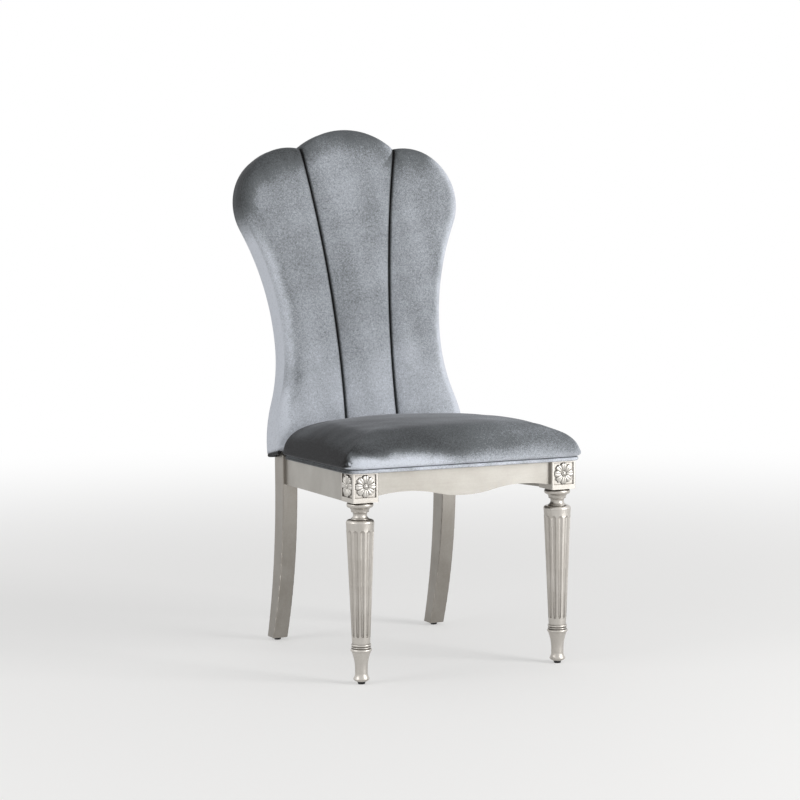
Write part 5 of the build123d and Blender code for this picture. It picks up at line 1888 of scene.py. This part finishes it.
@dataclass
class Studio:
    """Pale floor, soft lamps, white surroundings and the camera."""

    floor_colour: Colour = srgb(244, 243, 241)
    floor_radius: float = 20.0
    fade: tuple[float, float] = (0.8, 4.5)
    fade_start: float = 0.40
    world_light: float = 0.42
    lamps: tuple[Lamp, ...] = (
        Lamp("key_lamp", (2.5, -3.1, 1.8), 1.6, 95.0),
        Lamp("strip_lamp", (1.75, -3.6, 0.50), 0.95, 13.0),
        Lamp("side_lamp", (-3.0, -0.3, 1.8), 1.4, 22.0),
    )
    lit_point: Point = (0.0, 0.0, 0.55)
    focal: float = 99.43
    sensor: float = 36.0
    camera_place: Point = (-2.11753, -4.09388, 0.96622)
    yaw: float = 0.4500157
    pitch: float = 0.0836258
    roll: float = -0.0072076

    def build(self) -> None:
        """Set up the studio."""
        bpy.context.scene.view_settings.view_transform = "Standard"
        self.make_world()
        self.make_floor()
        for lamp in self.lamps:
            lamp.hang(self.lit_point)
        self.make_camera()

    def seen(self, wires: Wiring) -> NodeSocket:
        """Mask of the rays that show the surroundings instead of lighting by them.

        Args:
            wires: Wiring of the material or world.

        Returns:
            1 for such rays and 0 for the others.
        """
        path = wires.add("ShaderNodeLightPath").outputs
        mirror = wires.math("MAXIMUM", path["Is Glossy Ray"], path["Is Transmission Ray"])
        return wires.math("MAXIMUM", path["Is Camera Ray"], mirror)

    def make_world(self) -> None:
        """Surround the chair with white, which lights it at a plain level."""
        world = bpy.data.worlds.new("surroundings")
        bpy.context.scene.world = world
        world.use_nodes = True
        wires = Wiring(world.node_tree)
        background = world.node_tree.nodes["Background"]
        background.inputs["Color"].default_value = WHITE
        level = wires.spread(self.seen(wires), 0.0, 1.0, self.world_light, 1.0)
        wires.join(level, background.inputs["Strength"])

    def make_floor(self) -> None:
        """Make a pale floor that takes the chair's shadow and fades to white far away."""
        floor = new_object("floor", lathe("floor", [(0.0, 0.0), (self.floor_radius, 0.0)], 64))
        material, wires, shader = start_material("pale_floor", Roughness=0.75)
        shader.inputs["Base Color"].default_value = (*self.floor_colour, 1.0)
        away = wires.add("ShaderNodeVectorMath", {0: wires.place()}, operation="LENGTH").outputs["Value"]
        far = wires.spread(away, *self.fade, self.fade_start, 1.0, interpolation_type="SMOOTHSTEP")
        share = wires.math("MULTIPLY", far, self.seen(wires))
        white = wires.add("ShaderNodeEmission", {"Color": WHITE, "Strength": 1.0}).outputs[0]
        mixed = wires.add("ShaderNodeMixShader", {0: share, 1: shader.outputs[0], 2: white})
        result = next(node for node in material.node_tree.nodes if node.type == "OUTPUT_MATERIAL")
        wires.join(mixed.outputs[0], result.inputs["Surface"])
        floor.data.materials.append(material)

    def make_camera(self) -> None:
        """Set the camera where the photograph was taken from."""
        level = math.cos(self.pitch)
        ahead = np.array([math.sin(self.yaw) * level, math.cos(self.yaw) * level, -math.sin(self.pitch)])
        right = np.array([math.cos(self.yaw), -math.sin(self.yaw), 0.0])
        up = np.cross(right, ahead)
        turned_right = math.cos(self.roll) * right + math.sin(self.roll) * up
        turned_up = -math.sin(self.roll) * right + math.cos(self.roll) * up
        place = np.array(self.camera_place) + np.array([0.0, leg_axes_y(), 0.0])
        lens = bpy.data.cameras.new("camera")
        lens.sensor_width = self.sensor
        lens.lens = self.focal
        camera = new_object("camera", lens)
        camera.matrix_world = Reference(place, turned_right, turned_up, -ahead).matrix()
        bpy.context.scene.camera = camera


def main() -> None:
    """Build the studio and dress the chair, one sub-assembly after another."""
    logging.basicConfig(level=logging.INFO, format="%(message)s")
    materials = Materials()
    piping = PipingTree()
    seat = seat_reference()
    back = back_reference()
    Studio().build()
    ChairFrame(materials).dress()
    SeatUpholstery(materials, piping, seat).build()
    BackUpholstery(materials, piping, back).build()
    BlockRosettes(materials).build()
    Underside(materials, seat, back).build()


if __name__ == "__main__":
    main()
